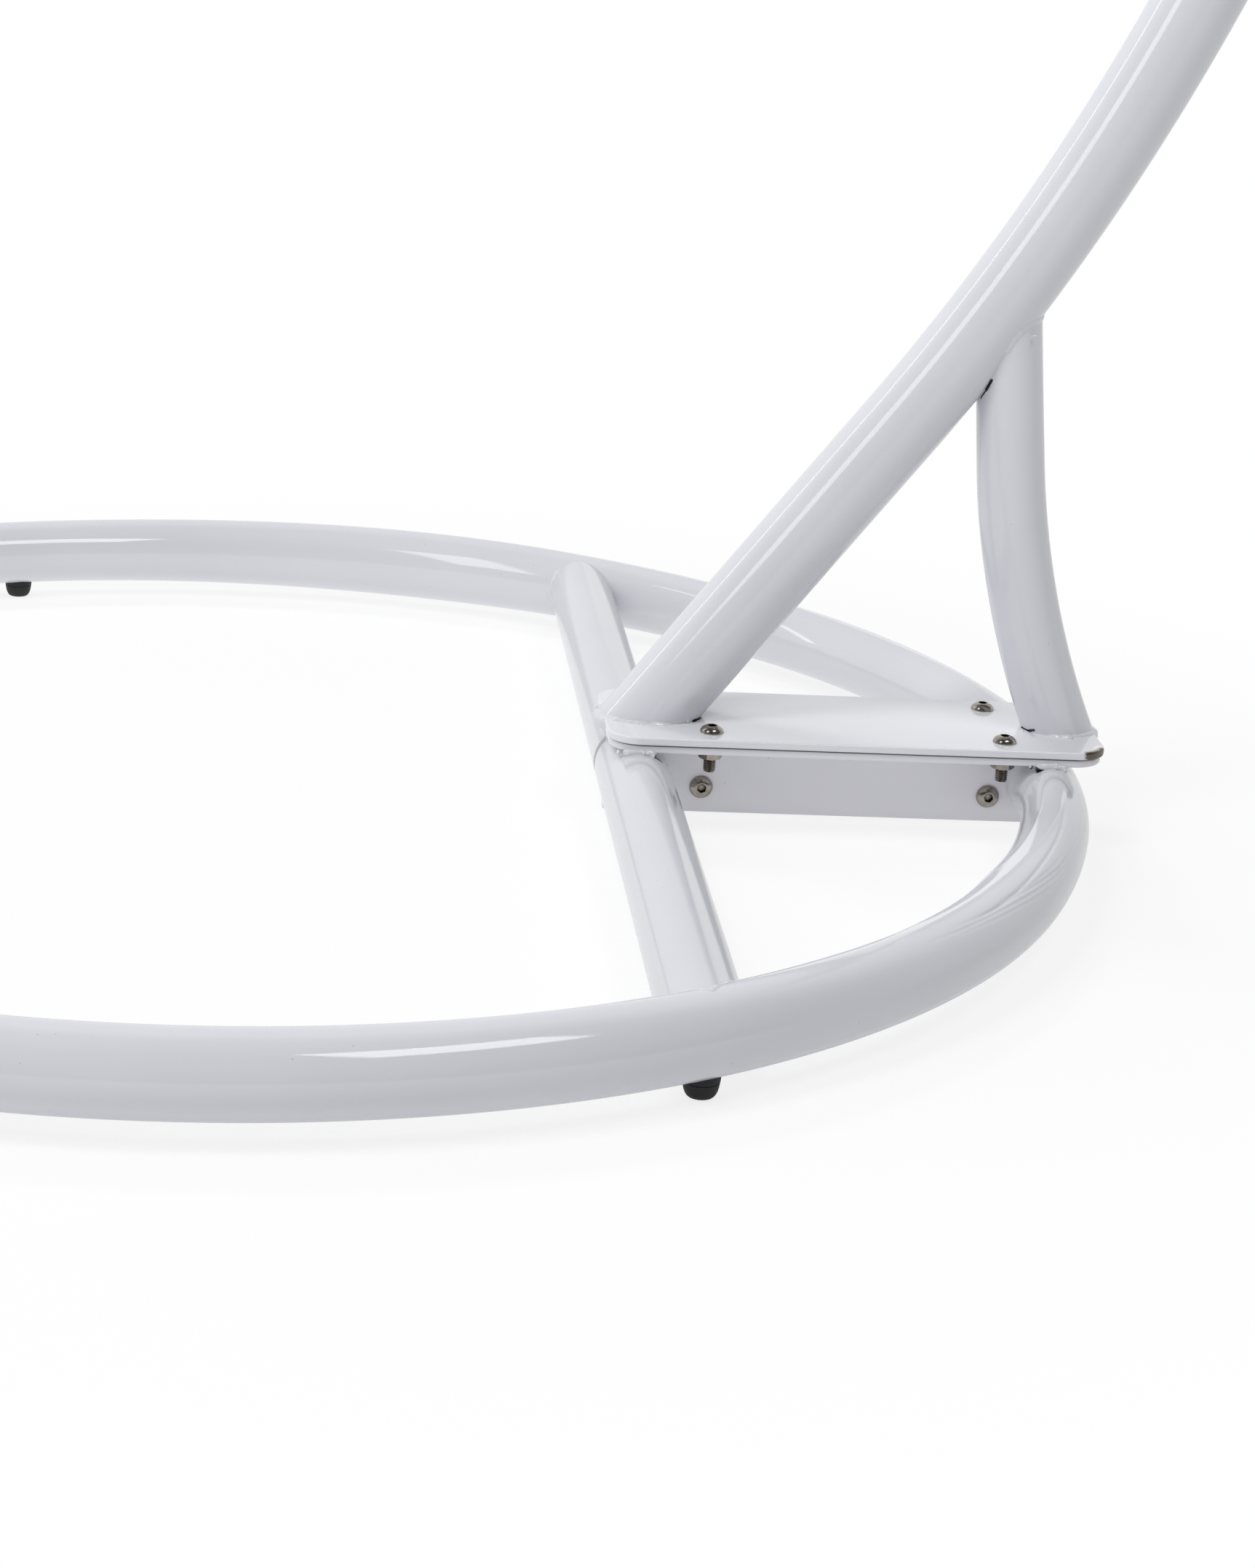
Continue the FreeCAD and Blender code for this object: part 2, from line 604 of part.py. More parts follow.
gate_heading = math.degrees(math.atan2(gate_line.z, gate_line.x))
tongue_base = bow_end - polar(0.5 * v.hook_rod, v.gate_above_angle - 90)
tongue_bar = box("1.25 * dims.hook_rod", "dims.tongue", "0.7 * dims.hook_rod", V(0, 0, 0))
tongue_bar.Placement = FreeCAD.Placement(tongue_base, Turn(V(0, -1, 0), v.gate_above_angle - 90)).multiply(
    FreeCAD.Placement(V(0, -v.tongue / 2, -0.35 * v.hook_rod), UPRIGHT))
tongue_end = cylinder("0.35 * dims.hook_rod", "dims.tongue", pivot - AXIS_Y * (v.tongue / 2), ALONG_Y)
pivot_hole = cylinder("dims.gate_pin / 2 + dims.running_play", "2 * dims.hook_rod",
                      pivot - AXIS_Y * v.hook_rod, ALONG_Y)
node(cut(fuse([pin, head, neck, bow, tongue_bar, tongue_end]), [pivot_hole]), "hook")

# sprung gate with two ears on the tongue's pin
ear_y = v.tongue / 2 + v.free_play / 2
gate_turn = along(gate_heading)
gate_reach = gate_line.Length - hook_rod * math.sin(math.radians(v.gate_below_angle)) - v.free_play
bar_start = 0.35 * v.hook_rod + 2 * v.free_play
bar = cylinder("dims.gate_rod / 2", "%g" % (gate_reach - bar_start),
               pivot + polar(bar_start, gate_heading), gate_turn)
ears = []
for side in sides.values():
    low_y = ear_y if side > 0 else -ear_y - v.ear
    disc = cylinder("0.35 * dims.hook_rod", "dims.ear", pivot + AXIS_Y * low_y, ALONG_Y)
    strap = box("%g" % (bar_start + v.gate_rod / 2), "dims.ear", "0.6 * dims.gate_rod", V(0, 0, 0))
    strap.Placement = FreeCAD.Placement(pivot, Turn(V(0, -1, 0), gate_heading)).multiply(
        FreeCAD.Placement(V(0, low_y, -0.3 * v.gate_rod), UPRIGHT))
    ears += [disc, strap]
pin_fit = cylinder("dims.gate_pin / 2", "2 * dims.hook_rod", pivot - AXIS_Y * v.hook_rod, ALONG_Y)
node(cut(fuse([bar] + ears), [pin_fit]), "hook_gate")
node(cylinder("dims.gate_pin / 2", "dims.tongue + dims.free_play + 2 * dims.ear + 2 * dims.free_play",
              pivot - AXIS_Y * (ear_y + v.ear + v.free_play), ALONG_Y), "gate_pin")

doc.recompute()
for obj in doc.Objects:
    if "Invalid" in obj.State or "Error" in obj.State:
        raise RuntimeError("%s failed: %s" % (obj.Label, obj.State))
for obj in nodes:
    if obj.Shape.isNull() or not obj.Shape.isValid() or not obj.Shape.Solids:
        raise RuntimeError("%s has no valid solid" % obj.Label)

os.makedirs("parts", exist_ok=True)
for obj in nodes:
    obj.Shape.exportStep("parts/%s.step" % obj.Label)
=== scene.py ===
import math

import bmesh
import bpy
from mathutils import Matrix, Vector


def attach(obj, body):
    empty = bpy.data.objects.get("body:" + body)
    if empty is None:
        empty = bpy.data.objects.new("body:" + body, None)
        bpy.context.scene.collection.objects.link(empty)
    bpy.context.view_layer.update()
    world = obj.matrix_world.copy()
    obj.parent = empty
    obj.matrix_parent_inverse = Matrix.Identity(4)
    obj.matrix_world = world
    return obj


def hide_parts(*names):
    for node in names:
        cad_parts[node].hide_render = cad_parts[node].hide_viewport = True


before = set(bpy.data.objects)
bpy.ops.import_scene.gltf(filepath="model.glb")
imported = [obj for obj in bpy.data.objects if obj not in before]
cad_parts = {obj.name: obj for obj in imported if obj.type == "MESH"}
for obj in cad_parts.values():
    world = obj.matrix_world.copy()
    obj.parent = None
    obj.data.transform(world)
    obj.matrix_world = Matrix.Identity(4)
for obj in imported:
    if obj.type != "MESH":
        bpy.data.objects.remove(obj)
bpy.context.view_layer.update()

# White tubular steel stand with a curved mast: floor at z = 0, mast plane at y = 0, mast on the +X side.
scene = bpy.context.scene
scene.view_settings.view_transform = "Standard"

# Sizes in metres and degrees, the same as the solids have. The size of a tube is its outer radius.

# Base ring, cross legs and feet; angles count from the web.
SIDES = {"front": -1, "back": 1}
RING_CENTRE = Vector((-0.078, 0, 0.033))
RING_RADIUS = 0.5085
RING_TUBE = 0.0225
LEG_X = 0.1742
FOOT_ANGLES = (60.5, 109.2, 157.9)
# Web plates, and the lower and upper flange with the seam between them.
WEB_WALL = 0.004
WEB_LEFT = 0.1582
WEB_RIGHT = 0.4515
WEB_UNDER = 0.004
PLATE_LEFT = 0.155
PLATE_RIGHT = 0.463
PLATE_HALF = 0.0545
PLATE_CORNER = 0.020
PLATE_UNDER = 0.056
PLATE_SEAM = 0.061
PLATE_TOP = 0.066
BASE_INSET = 0.0015
# Mast: headings of its axis at the foot, between its two bends, at its joint and at its tip.
MAST_TUBE = 0.0255
MAST_FOOT = Vector((0.184, 0, PLATE_TOP))
MAST_ANGLE = 53.0
MAST_STRAIGHT = 0.230
MAST_LOW_RADIUS = 1.392
MAST_LOW_END = 72.0
MAST_TOP_RADIUS = 1.000
MAST_SPLIT = 100.0
MAST_TIP = 160.2
# Brace: its lean at the foot and the heading of its straight top.
BRACE_TUBE = 0.021
BRACE_RADIUS = 0.575
BRACE_FOOT = Vector((0.441, 0, PLATE_TOP))
BRACE_LEAN = 24.2
BRACE_TOP = 97.0
# Threads, and the places of bolts; those of a tube joint sit JOINT_REACH from its split.
M8 = 0.008
M6 = 0.006
BOLT_XS = (0.219, 0.4005)
BOLT_SIDE = 0.036
WEB_BOLT_Z = 0.0205
JOINT_REACH = 0.040


def linear(hex_colour):
    """sRGB hex to the linear colour that sockets take."""
    parts = [int(hex_colour[i:i + 2], 16) / 255 for i in (1, 3, 5)]
    return tuple(c / 12.92 if c <= 0.04045 else ((c + 0.055) / 1.055) ** 2.4 for c in parts) + (1.0,)


def add(tree, kind, links=None, **settings):
    """Adds a node with its settings and links.

    links maps an input's name or number to a value, a socket or a node, whose first live output is taken.
    """
    made = tree.nodes.new(kind)
    for name, value in settings.items():
        setattr(made, name, value)
    for key, value in (links or {}).items():
        if isinstance(key, int):
            socket = made.inputs[key]
        else:
            socket = next(taken for taken in made.inputs if taken.enabled and taken.name == key)
        if isinstance(value, bpy.types.Node):
            value = next(given for given in value.outputs if given.enabled)
        if isinstance(value, bpy.types.NodeSocket):
            tree.links.new(value, socket)
        else:
            socket.default_value = value
    return made


def blank_material(name):
    """New material with an empty node tree."""
    material = bpy.data.materials.new(name)
    material.use_nodes = True
    material.node_tree.nodes.clear()
    return material, material.node_tree


def strokes_mask(tree, place, strokes):
    """1 inside the given (start, end, reach) strokes, with an edge torn in bits of 1.6 mm."""
    torn = add(tree, "ShaderNodeTexNoise", {"Vector": place, "Scale": 1 / 0.0016, "Detail": 3.0})
    wander = add(tree, "ShaderNodeMapRange", {"Value": torn, "To Min": 0.55, "To Max": 1.45})
    total = None
    for start, end, reach in strokes:
        run = end - start
        off = add(tree, "ShaderNodeVectorMath", {0: place, 1: start}, operation="SUBTRACT")
        along = add(tree, "ShaderNodeVectorMath", {0: off, 1: run / run.length_squared},
                    operation="DOT_PRODUCT")
        share = add(tree, "ShaderNodeMapRange", {"Value": along})
        nearest = add(tree, "ShaderNodeVectorMath", {0: run, "Scale": share}, operation="SCALE")
        away = add(tree, "ShaderNodeVectorMath", {0: off, 1: nearest}, operation="DISTANCE")
        frayed = add(tree, "ShaderNodeMath", {0: away, 1: wander}, operation="MULTIPLY")
        spot = add(tree, "ShaderNodeMapRange", {"Value": frayed, "From Min": reach,
                                                "From Max": 0.6 * reach})
        total = add(tree, "ShaderNodeMath", {0: total, 1: spot}, operation="MAXIMUM") if total else spot
    return total


def painted_seam_shade_mask(tree, place):
    """Near 1 on the line where the two flanges meet, for painted shade in the seam."""
    height = add(tree, "ShaderNodeSeparateXYZ", {"Vector": place}).outputs["Z"]
    off = add(tree, "ShaderNodeMath", {0: height, 1: PLATE_SEAM}, operation="SUBTRACT")
    size = add(tree, "ShaderNodeMath", {0: off}, operation="ABSOLUTE")
    return add(tree, "ShaderNodeMapRange", {"Value": size, "From Min": 0.00075, "From Max": 0.00035,
                                            "To Max": 0.85})


def powder_coat(name, low="#D6D7DD", high="#DFE0E5", peel=0.000006, painted_shade_strokes=(), chips=(), painted_highlight_strokes=(),
                painted_seam_shade=False):
    """White polyester powder coat, sprayed on steel and baked.

    The eye sees a cool white with hard, clear highlights that a faint orange peel of about 2.5 mm frays,
    a slow drift of tone over 110 mm and a few dark specks under 1 mm. Painted shade darkens the crevices
    and, when asked, the seam between the flanges. An edge has lost its coat at chips, and a painted
    highlight turns its strokes a brighter white. The crevices, the chips and the painted highlight are
    given as strokes.
    """
    material, tree = blank_material(name)
    place = add(tree, "ShaderNodeTexCoord").outputs["Object"]
    drift = add(tree, "ShaderNodeTexNoise", {"Vector": place, "Scale": 1 / 0.11, "Detail": 3.0})
    colour = add(tree, "ShaderNodeMix", {"Factor": drift, "A": linear(low), "B": linear(high)},
                 data_type="RGBA")
    grain = add(tree, "ShaderNodeTexVoronoi", {"Vector": place, "Scale": 1 / 0.009})
    near = add(tree, "ShaderNodeMapRange", {"Value": grain.outputs["Distance"], "From Min": 0.046,
                                            "From Max": 0.020, "To Max": 0.6})
    chosen = add(tree, "ShaderNodeMath", {0: grain.outputs["Color"], 1: 0.62}, operation="GREATER_THAN")
    speck = add(tree, "ShaderNodeMath", {0: near, 1: chosen}, operation="MULTIPLY")
    # Real specks, then painted highlight and painted shade, mixed into the coat's colour.
    marks_and_painted_light = [(speck, "#6B6762")]
    # Painted highlight on its strokes, a brighter white.
    if painted_highlight_strokes:
        marks_and_painted_light.append((strokes_mask(tree, place, painted_highlight_strokes), "#FAFAFB"))
    # Painted shade along the seam between the flanges.
    if painted_seam_shade:
        marks_and_painted_light.append((painted_seam_shade_mask(tree, place), "#2B2C33"))
    # Painted shade in the crevice strokes.
    if painted_shade_strokes:
        marks_and_painted_light.append((strokes_mask(tree, place, painted_shade_strokes), "#19181B"))
    for mask, mark_colour in marks_and_painted_light:
        colour = add(tree, "ShaderNodeMix", {"Factor": mask, "A": colour, "B": linear(mark_colour)},
                     data_type="RGBA")
    haze = add(tree, "ShaderNodeTexNoise", {"Vector": place, "Scale": 1 / 0.035, "Detail": 2.0})
    rough = add(tree, "ShaderNodeMapRange", {"Value": haze, "From Min": 0.3, "From Max": 0.7,
                                             "To Min": 0.055, "To Max": 0.11})
    skin = add(tree, "ShaderNodeTexNoise", {"Vector": place, "Scale": 1 / 0.0025, "Detail": 3.0,
                                            "Roughness": 0.65})
    relief = add(tree, "ShaderNodeBump", {"Strength": 1.0, "Distance": peel, "Height": skin})
    surface = add(tree, "ShaderNodeBsdfPrincipled", {"Base Color": colour, "Roughness": rough, "IOR": 1.55,
                                                     "Normal": relief})
    if chips:
        scratch = add(tree, "ShaderNodeTexNoise", {"Vector": place, "Scale": 1 / 0.0012, "Detail": 4.0})
        steel = add(tree, "ShaderNodeMix", {"Factor": scratch, "A": linear("#1F1A16"),
                                            "B": linear("#8C8073")}, data_type="RGBA")
        bare = add(tree, "ShaderNodeBsdfPrincipled", {"Base Color": steel, "Metallic": 1.0,
                                                      "Roughness": 0.38})
        chipped = strokes_mask(tree, place, chips)
        surface = add(tree, "ShaderNodeMixShader", {0: chipped, 1: surface, 2: bare})
    add(tree, "ShaderNodeOutputMaterial", {"Surface": surface})
    return material


def bright_steel(name, pale, dark, low_rough, high_rough, lay):
    """Machined steel with a bright plating: mirror-like, with fine tool marks and dull patches.

    lay is the spacing of the marks; real ones are finer and are drawn as coarse as they need to show.
    Painted shade darkens sockets and thread grooves, as far as the piece's own shade attribute says.
    """
    material, tree = blank_material(name)
    place = add(tree, "ShaderNodeTexCoord").outputs["Object"]
    patch = add(tree, "ShaderNodeTexNoise", {"Vector": place, "Scale": 1 / 0.004, "Detail": 3.0})
    clean = add(tree, "ShaderNodeMix", {"Factor": patch, "A": linear(dark), "B": linear(pale)},
                data_type="RGBA")
    # Painted shade in sockets and thread grooves.
    painted_recess_shade = add(tree, "ShaderNodeAttribute", attribute_name="painted_recess_shade").outputs["Fac"]
    tone = add(tree, "ShaderNodeMix", {"Factor": painted_recess_shade, "A": clean, "B": linear("#15130F")},
               data_type="RGBA")
    rough = add(tree, "ShaderNodeMapRange", {"Value": patch, "From Min": 0.3, "From Max": 0.7,
                                             "To Min": low_rough, "To Max": high_rough})
    marks = add(tree, "ShaderNodeTexNoise", {"Vector": place, "Scale": 1 / lay, "Detail": 2.0})
    relief = add(tree, "ShaderNodeBump", {"Strength": 1.0, "Distance": 0.00001, "Height": marks})
    metal = add(tree, "ShaderNodeBsdfPrincipled", {"Base Color": tone, "Metallic": 1.0, "Roughness": rough,
                                                   "Normal": relief})
    add(tree, "ShaderNodeOutputMaterial", {"Surface": metal})
    return material


def moulded(name, dark, pale, low_rough, high_rough, grit):
    """Moulded rubber or plastic: dull, with the fine grit of the mould and slightly rubbed patches.

    grit is the size of its grains, drawn as coarse as they need to show.
    """
    material, tree = blank_material(name)
    place = add(tree, "ShaderNodeTexCoord").outputs["Object"]
    rub = add(tree, "ShaderNodeTexNoise", {"Vector": place, "Scale": 1 / 0.006, "Detail": 4.0})
    tone = add(tree, "ShaderNodeMix", {"Factor": rub, "A": linear(dark), "B": linear(pale)},
               data_type="RGBA")
    rough = add(tree, "ShaderNodeMapRange", {"Value": rub, "To Min": low_rough, "To Max": high_rough})
    mould = add(tree, "ShaderNodeTexNoise", {"Vector": place, "Scale": 1 / grit, "Detail": 2.0})
    relief = add(tree, "ShaderNodeBump", {"Strength": 0.6, "Distance": 0.00006, "Height": mould})
    skin = add(tree, "ShaderNodeBsdfPrincipled", {"Base Color": tone, "IOR": 1.5, "Roughness": rough,
                                                  "Normal": relief})
    add(tree, "ShaderNodeOutputMaterial", {"Surface": skin})
    return material


# Strokes of painted shade in crevices, (start, end, reach): mast's foot, brace's foot,
# leg and ring under the flange, brace's top.
PAINTED_SHADE_STROKES = (
    (Vector((0.2098, -0.0152, 0.0666)), Vector((0.2150, -0.0070, 0.0668)), 0.0018),
    (Vector((0.4182, -0.0030, 0.0663)), Vector((0.4210, -0.0107, 0.0663)), 0.0010),
    (Vector((0.4210, -0.0107, 0.0663)), Vector((0.4236, -0.0140, 0.0680)), 0.0012),
    (Vector((0.1845, -0.0530, 0.0530)), Vector((0.1880, -0.0530, 0.0530)), 0.0030),
    (Vector((0.4155, -0.0530, 0.0545)), Vector((0.4210, -0.0530, 0.0535)), 0.0024),
    (Vector((0.3712, -0.0069, 0.2732)), Vector((0.3730, -0.0116, 0.2792)), 0.0007),
    (Vector((0.3730, -0.0116, 0.2792)), Vector((0.3750, -0.0146, 0.2855)), 0.0013),
)
# Strokes on the flange's right front corner: chipped along its edge, and a painted highlight above it.
CHIPS = (
    (Vector((0.4505, -0.0528, 0.0640)), Vector((0.4540, -0.0514, 0.0634)), 0.0042),
    (Vector((0.4540, -0.0514, 0.0634)), Vector((0.4580, -0.0485, 0.0634)), 0.0050),
    (Vector((0.4580, -0.0485, 0.0634)), Vector((0.4612, -0.0440, 0.0640)), 0.0050),
)
PAINTED_HIGHLIGHT_STROKES = (
    (Vector((0.4570, -0.0450, 0.0668)), Vector((0.4595, -0.0400, 0.0668)), 0.0040),
)
# Finishes of the stand, its fasteners and hook, and its feet and cap.
# The legs' coat is a darker copy of the tube's coat: painted shade.
leg_coat_painted_darker = powder_coat("powder_coat_on_cross_leg", "#CED0D5", "#D7D9DE", peel=0.00005, painted_shade_strokes=PAINTED_SHADE_STROKES)
tube_paint = powder_coat("powder_coat_on_tube", painted_shade_strokes=PAINTED_SHADE_STROKES)
# The plates' coat is a lighter copy of the tube's coat: painted light.
plate_coat_painted_lighter = powder_coat("powder_coat_on_plate", "#E1E1E6", "#E9E9ED", painted_shade_strokes=PAINTED_SHADE_STROKES, chips=CHIPS,
                          painted_highlight_strokes=PAINTED_HIGHLIGHT_STROKES, painted_seam_shade=True)
weld_paint = powder_coat("powder_coat_on_weld", peel=0.00005, painted_shade_strokes=PAINTED_SHADE_STROKES)
fastener_steel = bright_steel("zinc_plated_steel", "#B5AFA5", "#7C756B", 0.10, 0.22, lay=0.0012)
hook_steel = bright_steel("polished_steel", "#D2D0CC", "#A8A6A2", 0.14, 0.26, lay=0.0020)
sleeve_steel = bright_steel("bare_tube_steel", "#8F8C88", "#5A5754", 0.35, 0.55, lay=0.0030)
foot_rubber = moulded("moulded_rubber", "#101012", "#1E1E21", 0.55, 0.75, grit=0.0007)
cap_plastic = moulded("moulded_polyethylene", "#CDCED4", "#DADBE0", 0.38, 0.52, grit=0.0009)


def new_tree(name, sizes):
    """Geometry node tree with a geometry input, named inputs for its sizes and a geometry output."""
    tree = bpy.data.node_groups.new(name, "GeometryNodeTree")
    tree.interface.new_socket("Geometry", in_out="INPUT", socket_type="NodeSocketGeometry")
    for label, kind in sizes:
        tree.interface.new_socket(label, in_out="INPUT", socket_type="NodeSocket" + kind)
    tree.interface.new_socket("Geometry", in_out="OUTPUT", socket_type="NodeSocketGeometry")
    return tree, add(tree, "NodeGroupInput").outputs


def close_tree(tree, geometry, material):
    """Ends a tree: instances made real, finish set."""
    solid = add(tree, "GeometryNodeRealizeInstances", {"Geometry": geometry})
    dressed = add(tree, "GeometryNodeSetMaterial", {"Geometry": solid, "Material": material})
    add(tree, "NodeGroupOutput", {"Geometry": dressed})
    return tree


def make_tube_tree():
    """Round tube along a path of edges."""
    tree, given = new_tree("tube_on_path", [("Tube radius", "Float"), ("Sides", "Int"),
                                            ("Finish", "Material")])
    line = add(tree, "GeometryNodeMeshToCurve", {"Mesh": given["Geometry"]})
    section = add(tree, "GeometryNodeCurvePrimitiveCircle", {"Resolution": given["Sides"],
                                                            "Radius": given["Tube radius"]})
    wall = add(tree, "GeometryNodeCurveToMesh", {"Curve": line, "Profile Curve": section,
                                                 "Fill Caps": True})
    smooth = add(tree, "GeometryNodeSetShadeSmooth", {"Geometry": wall, "Shade Smooth": True})
    return close_tree(tree, smooth, given["Finish"])


def make_weld_tree():
    """Hand-laid weld bead along a path of edges: rippled, uneven, with a few spatter lumps."""
    tree, given = new_tree("weld_on_path", [("Bead radius", "Float"), ("Ripple pitch", "Float"),
                                            ("Unevenness", "Float"), ("End taper", "Float"),
                                            ("Lumps", "Int"), ("Lump size", "Float"),
                                            ("Lump height", "Float"), ("Seed", "Int"),
                                            ("Finish", "Material")])
    # The path, with four points to a ripple.
    line = add(tree, "GeometryNodeMeshToCurve", {"Mesh": given["Geometry"]})
    step = add(tree, "ShaderNodeMath", {0: given["Ripple pitch"], 1: 0.25}, operation="MULTIPLY")
    walk = add(tree, "GeometryNodeResampleCurve", {"Curve": line, "Length": step}, mode="LENGTH")
    # The bead's thickness: ripples of 2 %, an unevenness over 8 mm, and ends that run out to 55 %.
    along = add(tree, "GeometryNodeSplineParameter").outputs
    to_end = add(tree, "ShaderNodeMath", {0: along["Factor"], 1: 0.5}, operation="PINGPONG")
    full = add(tree, "ShaderNodeMapRange", {"Value": to_end, "From Max": 0.12, "To Min": 0.55},
               interpolation_type="SMOOTHSTEP")
    ends = add(tree, "ShaderNodeMix", {"Factor": given["End taper"], "A": 1.0, "B": full},
               data_type="FLOAT")
    turns = add(tree, "ShaderNodeMath", {0: along["Length"], 1: given["Ripple pitch"]}, operation="DIVIDE")
    phase = add(tree, "ShaderNodeMath", {0: turns, 1: 2 * math.pi}, operation="MULTIPLY")
    wave = add(tree, "ShaderNodeMath", {0: phase}, operation="SINE")
    ripple = add(tree, "ShaderNodeMath", {0: wave, 1: 0.02, 2: 1.0}, operation="MULTIPLY_ADD")
    spot = add(tree, "GeometryNodeInputPosition")
    drift = add(tree, "ShaderNodeTexNoise", {"Vector": spot, "Scale": 1 / 0.008, "Detail": 2.0})
    swing = add(tree, "ShaderNodeMath", {0: drift, 1: 0.5}, operation="SUBTRACT")
    uneven = add(tree, "ShaderNodeMath", {0: swing, 1: given["Unevenness"], 2: ripple},
                 operation="MULTIPLY_ADD")
    size = add(tree, "ShaderNodeMath", {0: uneven, 1: ends}, operation="MULTIPLY")
    section = add(tree, "GeometryNodeCurvePrimitiveCircle", {"Resolution": 24,
                                                            "Radius": given["Bead radius"]})
    bead = add(tree, "GeometryNodeCurveToMesh", {"Curve": walk, "Profile Curve": section, "Scale": size,
                                                 "Fill Caps": True})
    # Its skin: dents of about 3 mm.
    grain = add(tree, "ShaderNodeTexNoise", {"Vector": spot, "Scale": 1 / 0.003, "Detail": 2.0})
    dent = add(tree, "ShaderNodeMath", {0: grain, 1: 0.5}, operation="SUBTRACT")
    part = add(tree, "ShaderNodeMath", {0: dent, 1: given["Unevenness"]}, operation="MULTIPLY")
    shift = add(tree, "ShaderNodeMath", {0: part, 1: given["Bead radius"]}, operation="MULTIPLY")
    facing = add(tree, "GeometryNodeInputNormal")
    push = add(tree, "ShaderNodeVectorMath", {0: facing, "Scale": shift}, operation="SCALE")
    rough = add(tree, "GeometryNodeSetPosition", {"Geometry": bead, "Offset": push})
    # Spatter: lumps that stray from the path and stand out of the corner.
    drops = add(tree, "GeometryNodeCurveToPoints", {"Curve": line, "Count": given["Lumps"]}, mode="COUNT")
    reach = add(tree, "ShaderNodeVectorMath", {0: (1.6, 0.7, 0.4), "Scale": given["Bead radius"]},
                operation="SCALE")
    back = add(tree, "ShaderNodeVectorMath", {0: reach, "Scale": -1.0}, operation="SCALE")
    stray = add(tree, "FunctionNodeRandomValue", {"Min": back, "Max": reach, "Seed": given["Seed"]},
                data_type="FLOAT_VECTOR")
    out = add(tree, "GeometryNodeInputNamedAttribute", {"Name": "out"}, data_type="FLOAT_VECTOR")
    rise = add(tree, "ShaderNodeVectorMath", {0: out, "Scale": given["Lump height"]}, operation="SCALE")
    where = add(tree, "ShaderNodeVectorMath", {0: rise, 1: stray}, operation="ADD")
    moved = add(tree, "GeometryNodeSetPosition", {"Geometry": drops, "Offset": where})
    lump = add(tree, "GeometryNodeMeshIcoSphere", {"Radius": given["Lump size"], "Subdivisions": 3})
    grow = add(tree, "FunctionNodeRandomValue", {"Min": (0.5, 0.5, 0.4), "Max": (1.3, 1.3, 1.0),
                                                 "Seed": given["Seed"]}, data_type="FLOAT_VECTOR")
    lumps = add(tree, "GeometryNodeInstanceOnPoints", {"Points": moved, "Instance": lump, "Scale": grow})
    both = add(tree, "GeometryNodeJoinGeometry", {"Geometry": rough})
    tree.links.new(lumps.outputs[0], both.inputs[0])
    smooth = add(tree, "GeometryNodeSetShadeSmooth", {"Geometry": both, "Shade Smooth": True})
    return close_tree(tree, smooth, given["Finish"])


def make_spots_tree():
    """One fastener or foot on each spot, turned the given way and spun at random about its own axis."""
    tree, given = new_tree("fasteners_on_spots", [("Fastener", "Object"), ("Turn", "Rotation"),
                                                  ("Seed", "Int"), ("Finish", "Material")])
    master = add(tree, "GeometryNodeObjectInfo", {"Object": given["Fastener"]}, transform_space="ORIGINAL")
    spin = add(tree, "FunctionNodeRandomValue", {"Min": 0.0, "Max": 2 * math.pi, "Seed": given["Seed"]},
               data_type="FLOAT")
    about = add(tree, "ShaderNodeCombineXYZ", {"Z": spin})
    own = add(tree, "FunctionNodeEulerToRotation", {"Euler": about})
    turn = add(tree, "FunctionNodeRotateRotation", {"Rotation": given["Turn"], "Rotate By": own},
               rotation_space="LOCAL")
    placed = add(tree, "GeometryNodeInstanceOnPoints", {"Points": given["Geometry"],
                                                        "Instance": master.outputs["Geometry"],
                                                        "Rotation": turn})
    return close_tree(tree, placed, given["Finish"])


tube_tree = make_tube_tree()
weld_tree = make_weld_tree()
spots_tree = make_spots_tree()


def new_object(name, data):
    """New object at the origin."""
    obj = bpy.data.objects.new(name, data)
    scene.collection.objects.link(obj)
    return obj


def path(points, closed=False):
    """Carrier of a path: its points joined by edges."""
    edges = [(i, i + 1) for i in range(len(points) - 1)]
    if closed:
        edges.append((len(points) - 1, 0))
    mesh = bpy.data.meshes.new("path")
    mesh.from_pydata(points, edges, [])
    return new_object("path", mesh)


def closed_object(work, name, finish=None):
    """Ends a bmesh as an object whose faces point outwards."""
    bmesh.ops.recalc_face_normals(work, faces=work.faces)
    mesh = bpy.data.meshes.new(name)
    work.to_mesh(mesh)
    work.free()
    if finish:
        mesh.materials.append(finish)
    return new_object(name, mesh)


def plain_mesh(obj, name):
    """The object's evaluated shape as a plain mesh at the origin; the object itself goes."""
    bpy.context.view_layer.update()
    shaped = obj.evaluated_get(bpy.context.evaluated_depsgraph_get())
    made = new_object(name, bpy.data.meshes.new_from_object(shaped))
    bpy.data.objects.remove(obj)
    return made


def grown(tree, carrier, name, sizes):
    """Runs a node tree on a carrier and keeps its result as a plain mesh."""
    modifier = carrier.modifiers.new("tree", "NODES")
    modifier.node_group = tree
    for item in tree.interface.items_tree:
        if item.in_out == "INPUT" and item.name in sizes:
            modifier[item.identifier] = sizes[item.name]
    return plain_mesh(carrier, name)


def shade(obj, angle):
    """Smooth shading with edges sharper than the angle kept hard."""
    obj.data.shade_smooth()
    obj.data.set_sharp_from_angle(angle=math.radians(angle))
    return obj


def keep(obj, *stands_for, slot="white_paint"):
    """Makes an object a piece of the stand, in place of the CAD nodes that it stands for."""
    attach(obj, "stand")
    if stands_for:
        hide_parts(*stands_for)
    return obj


def in_plane(radius, angle):
    """Vector in the mast plane at an angle from +X."""
    return Vector((radius * math.cos(math.radians(angle)), 0, radius * math.sin(math.radians(angle))))


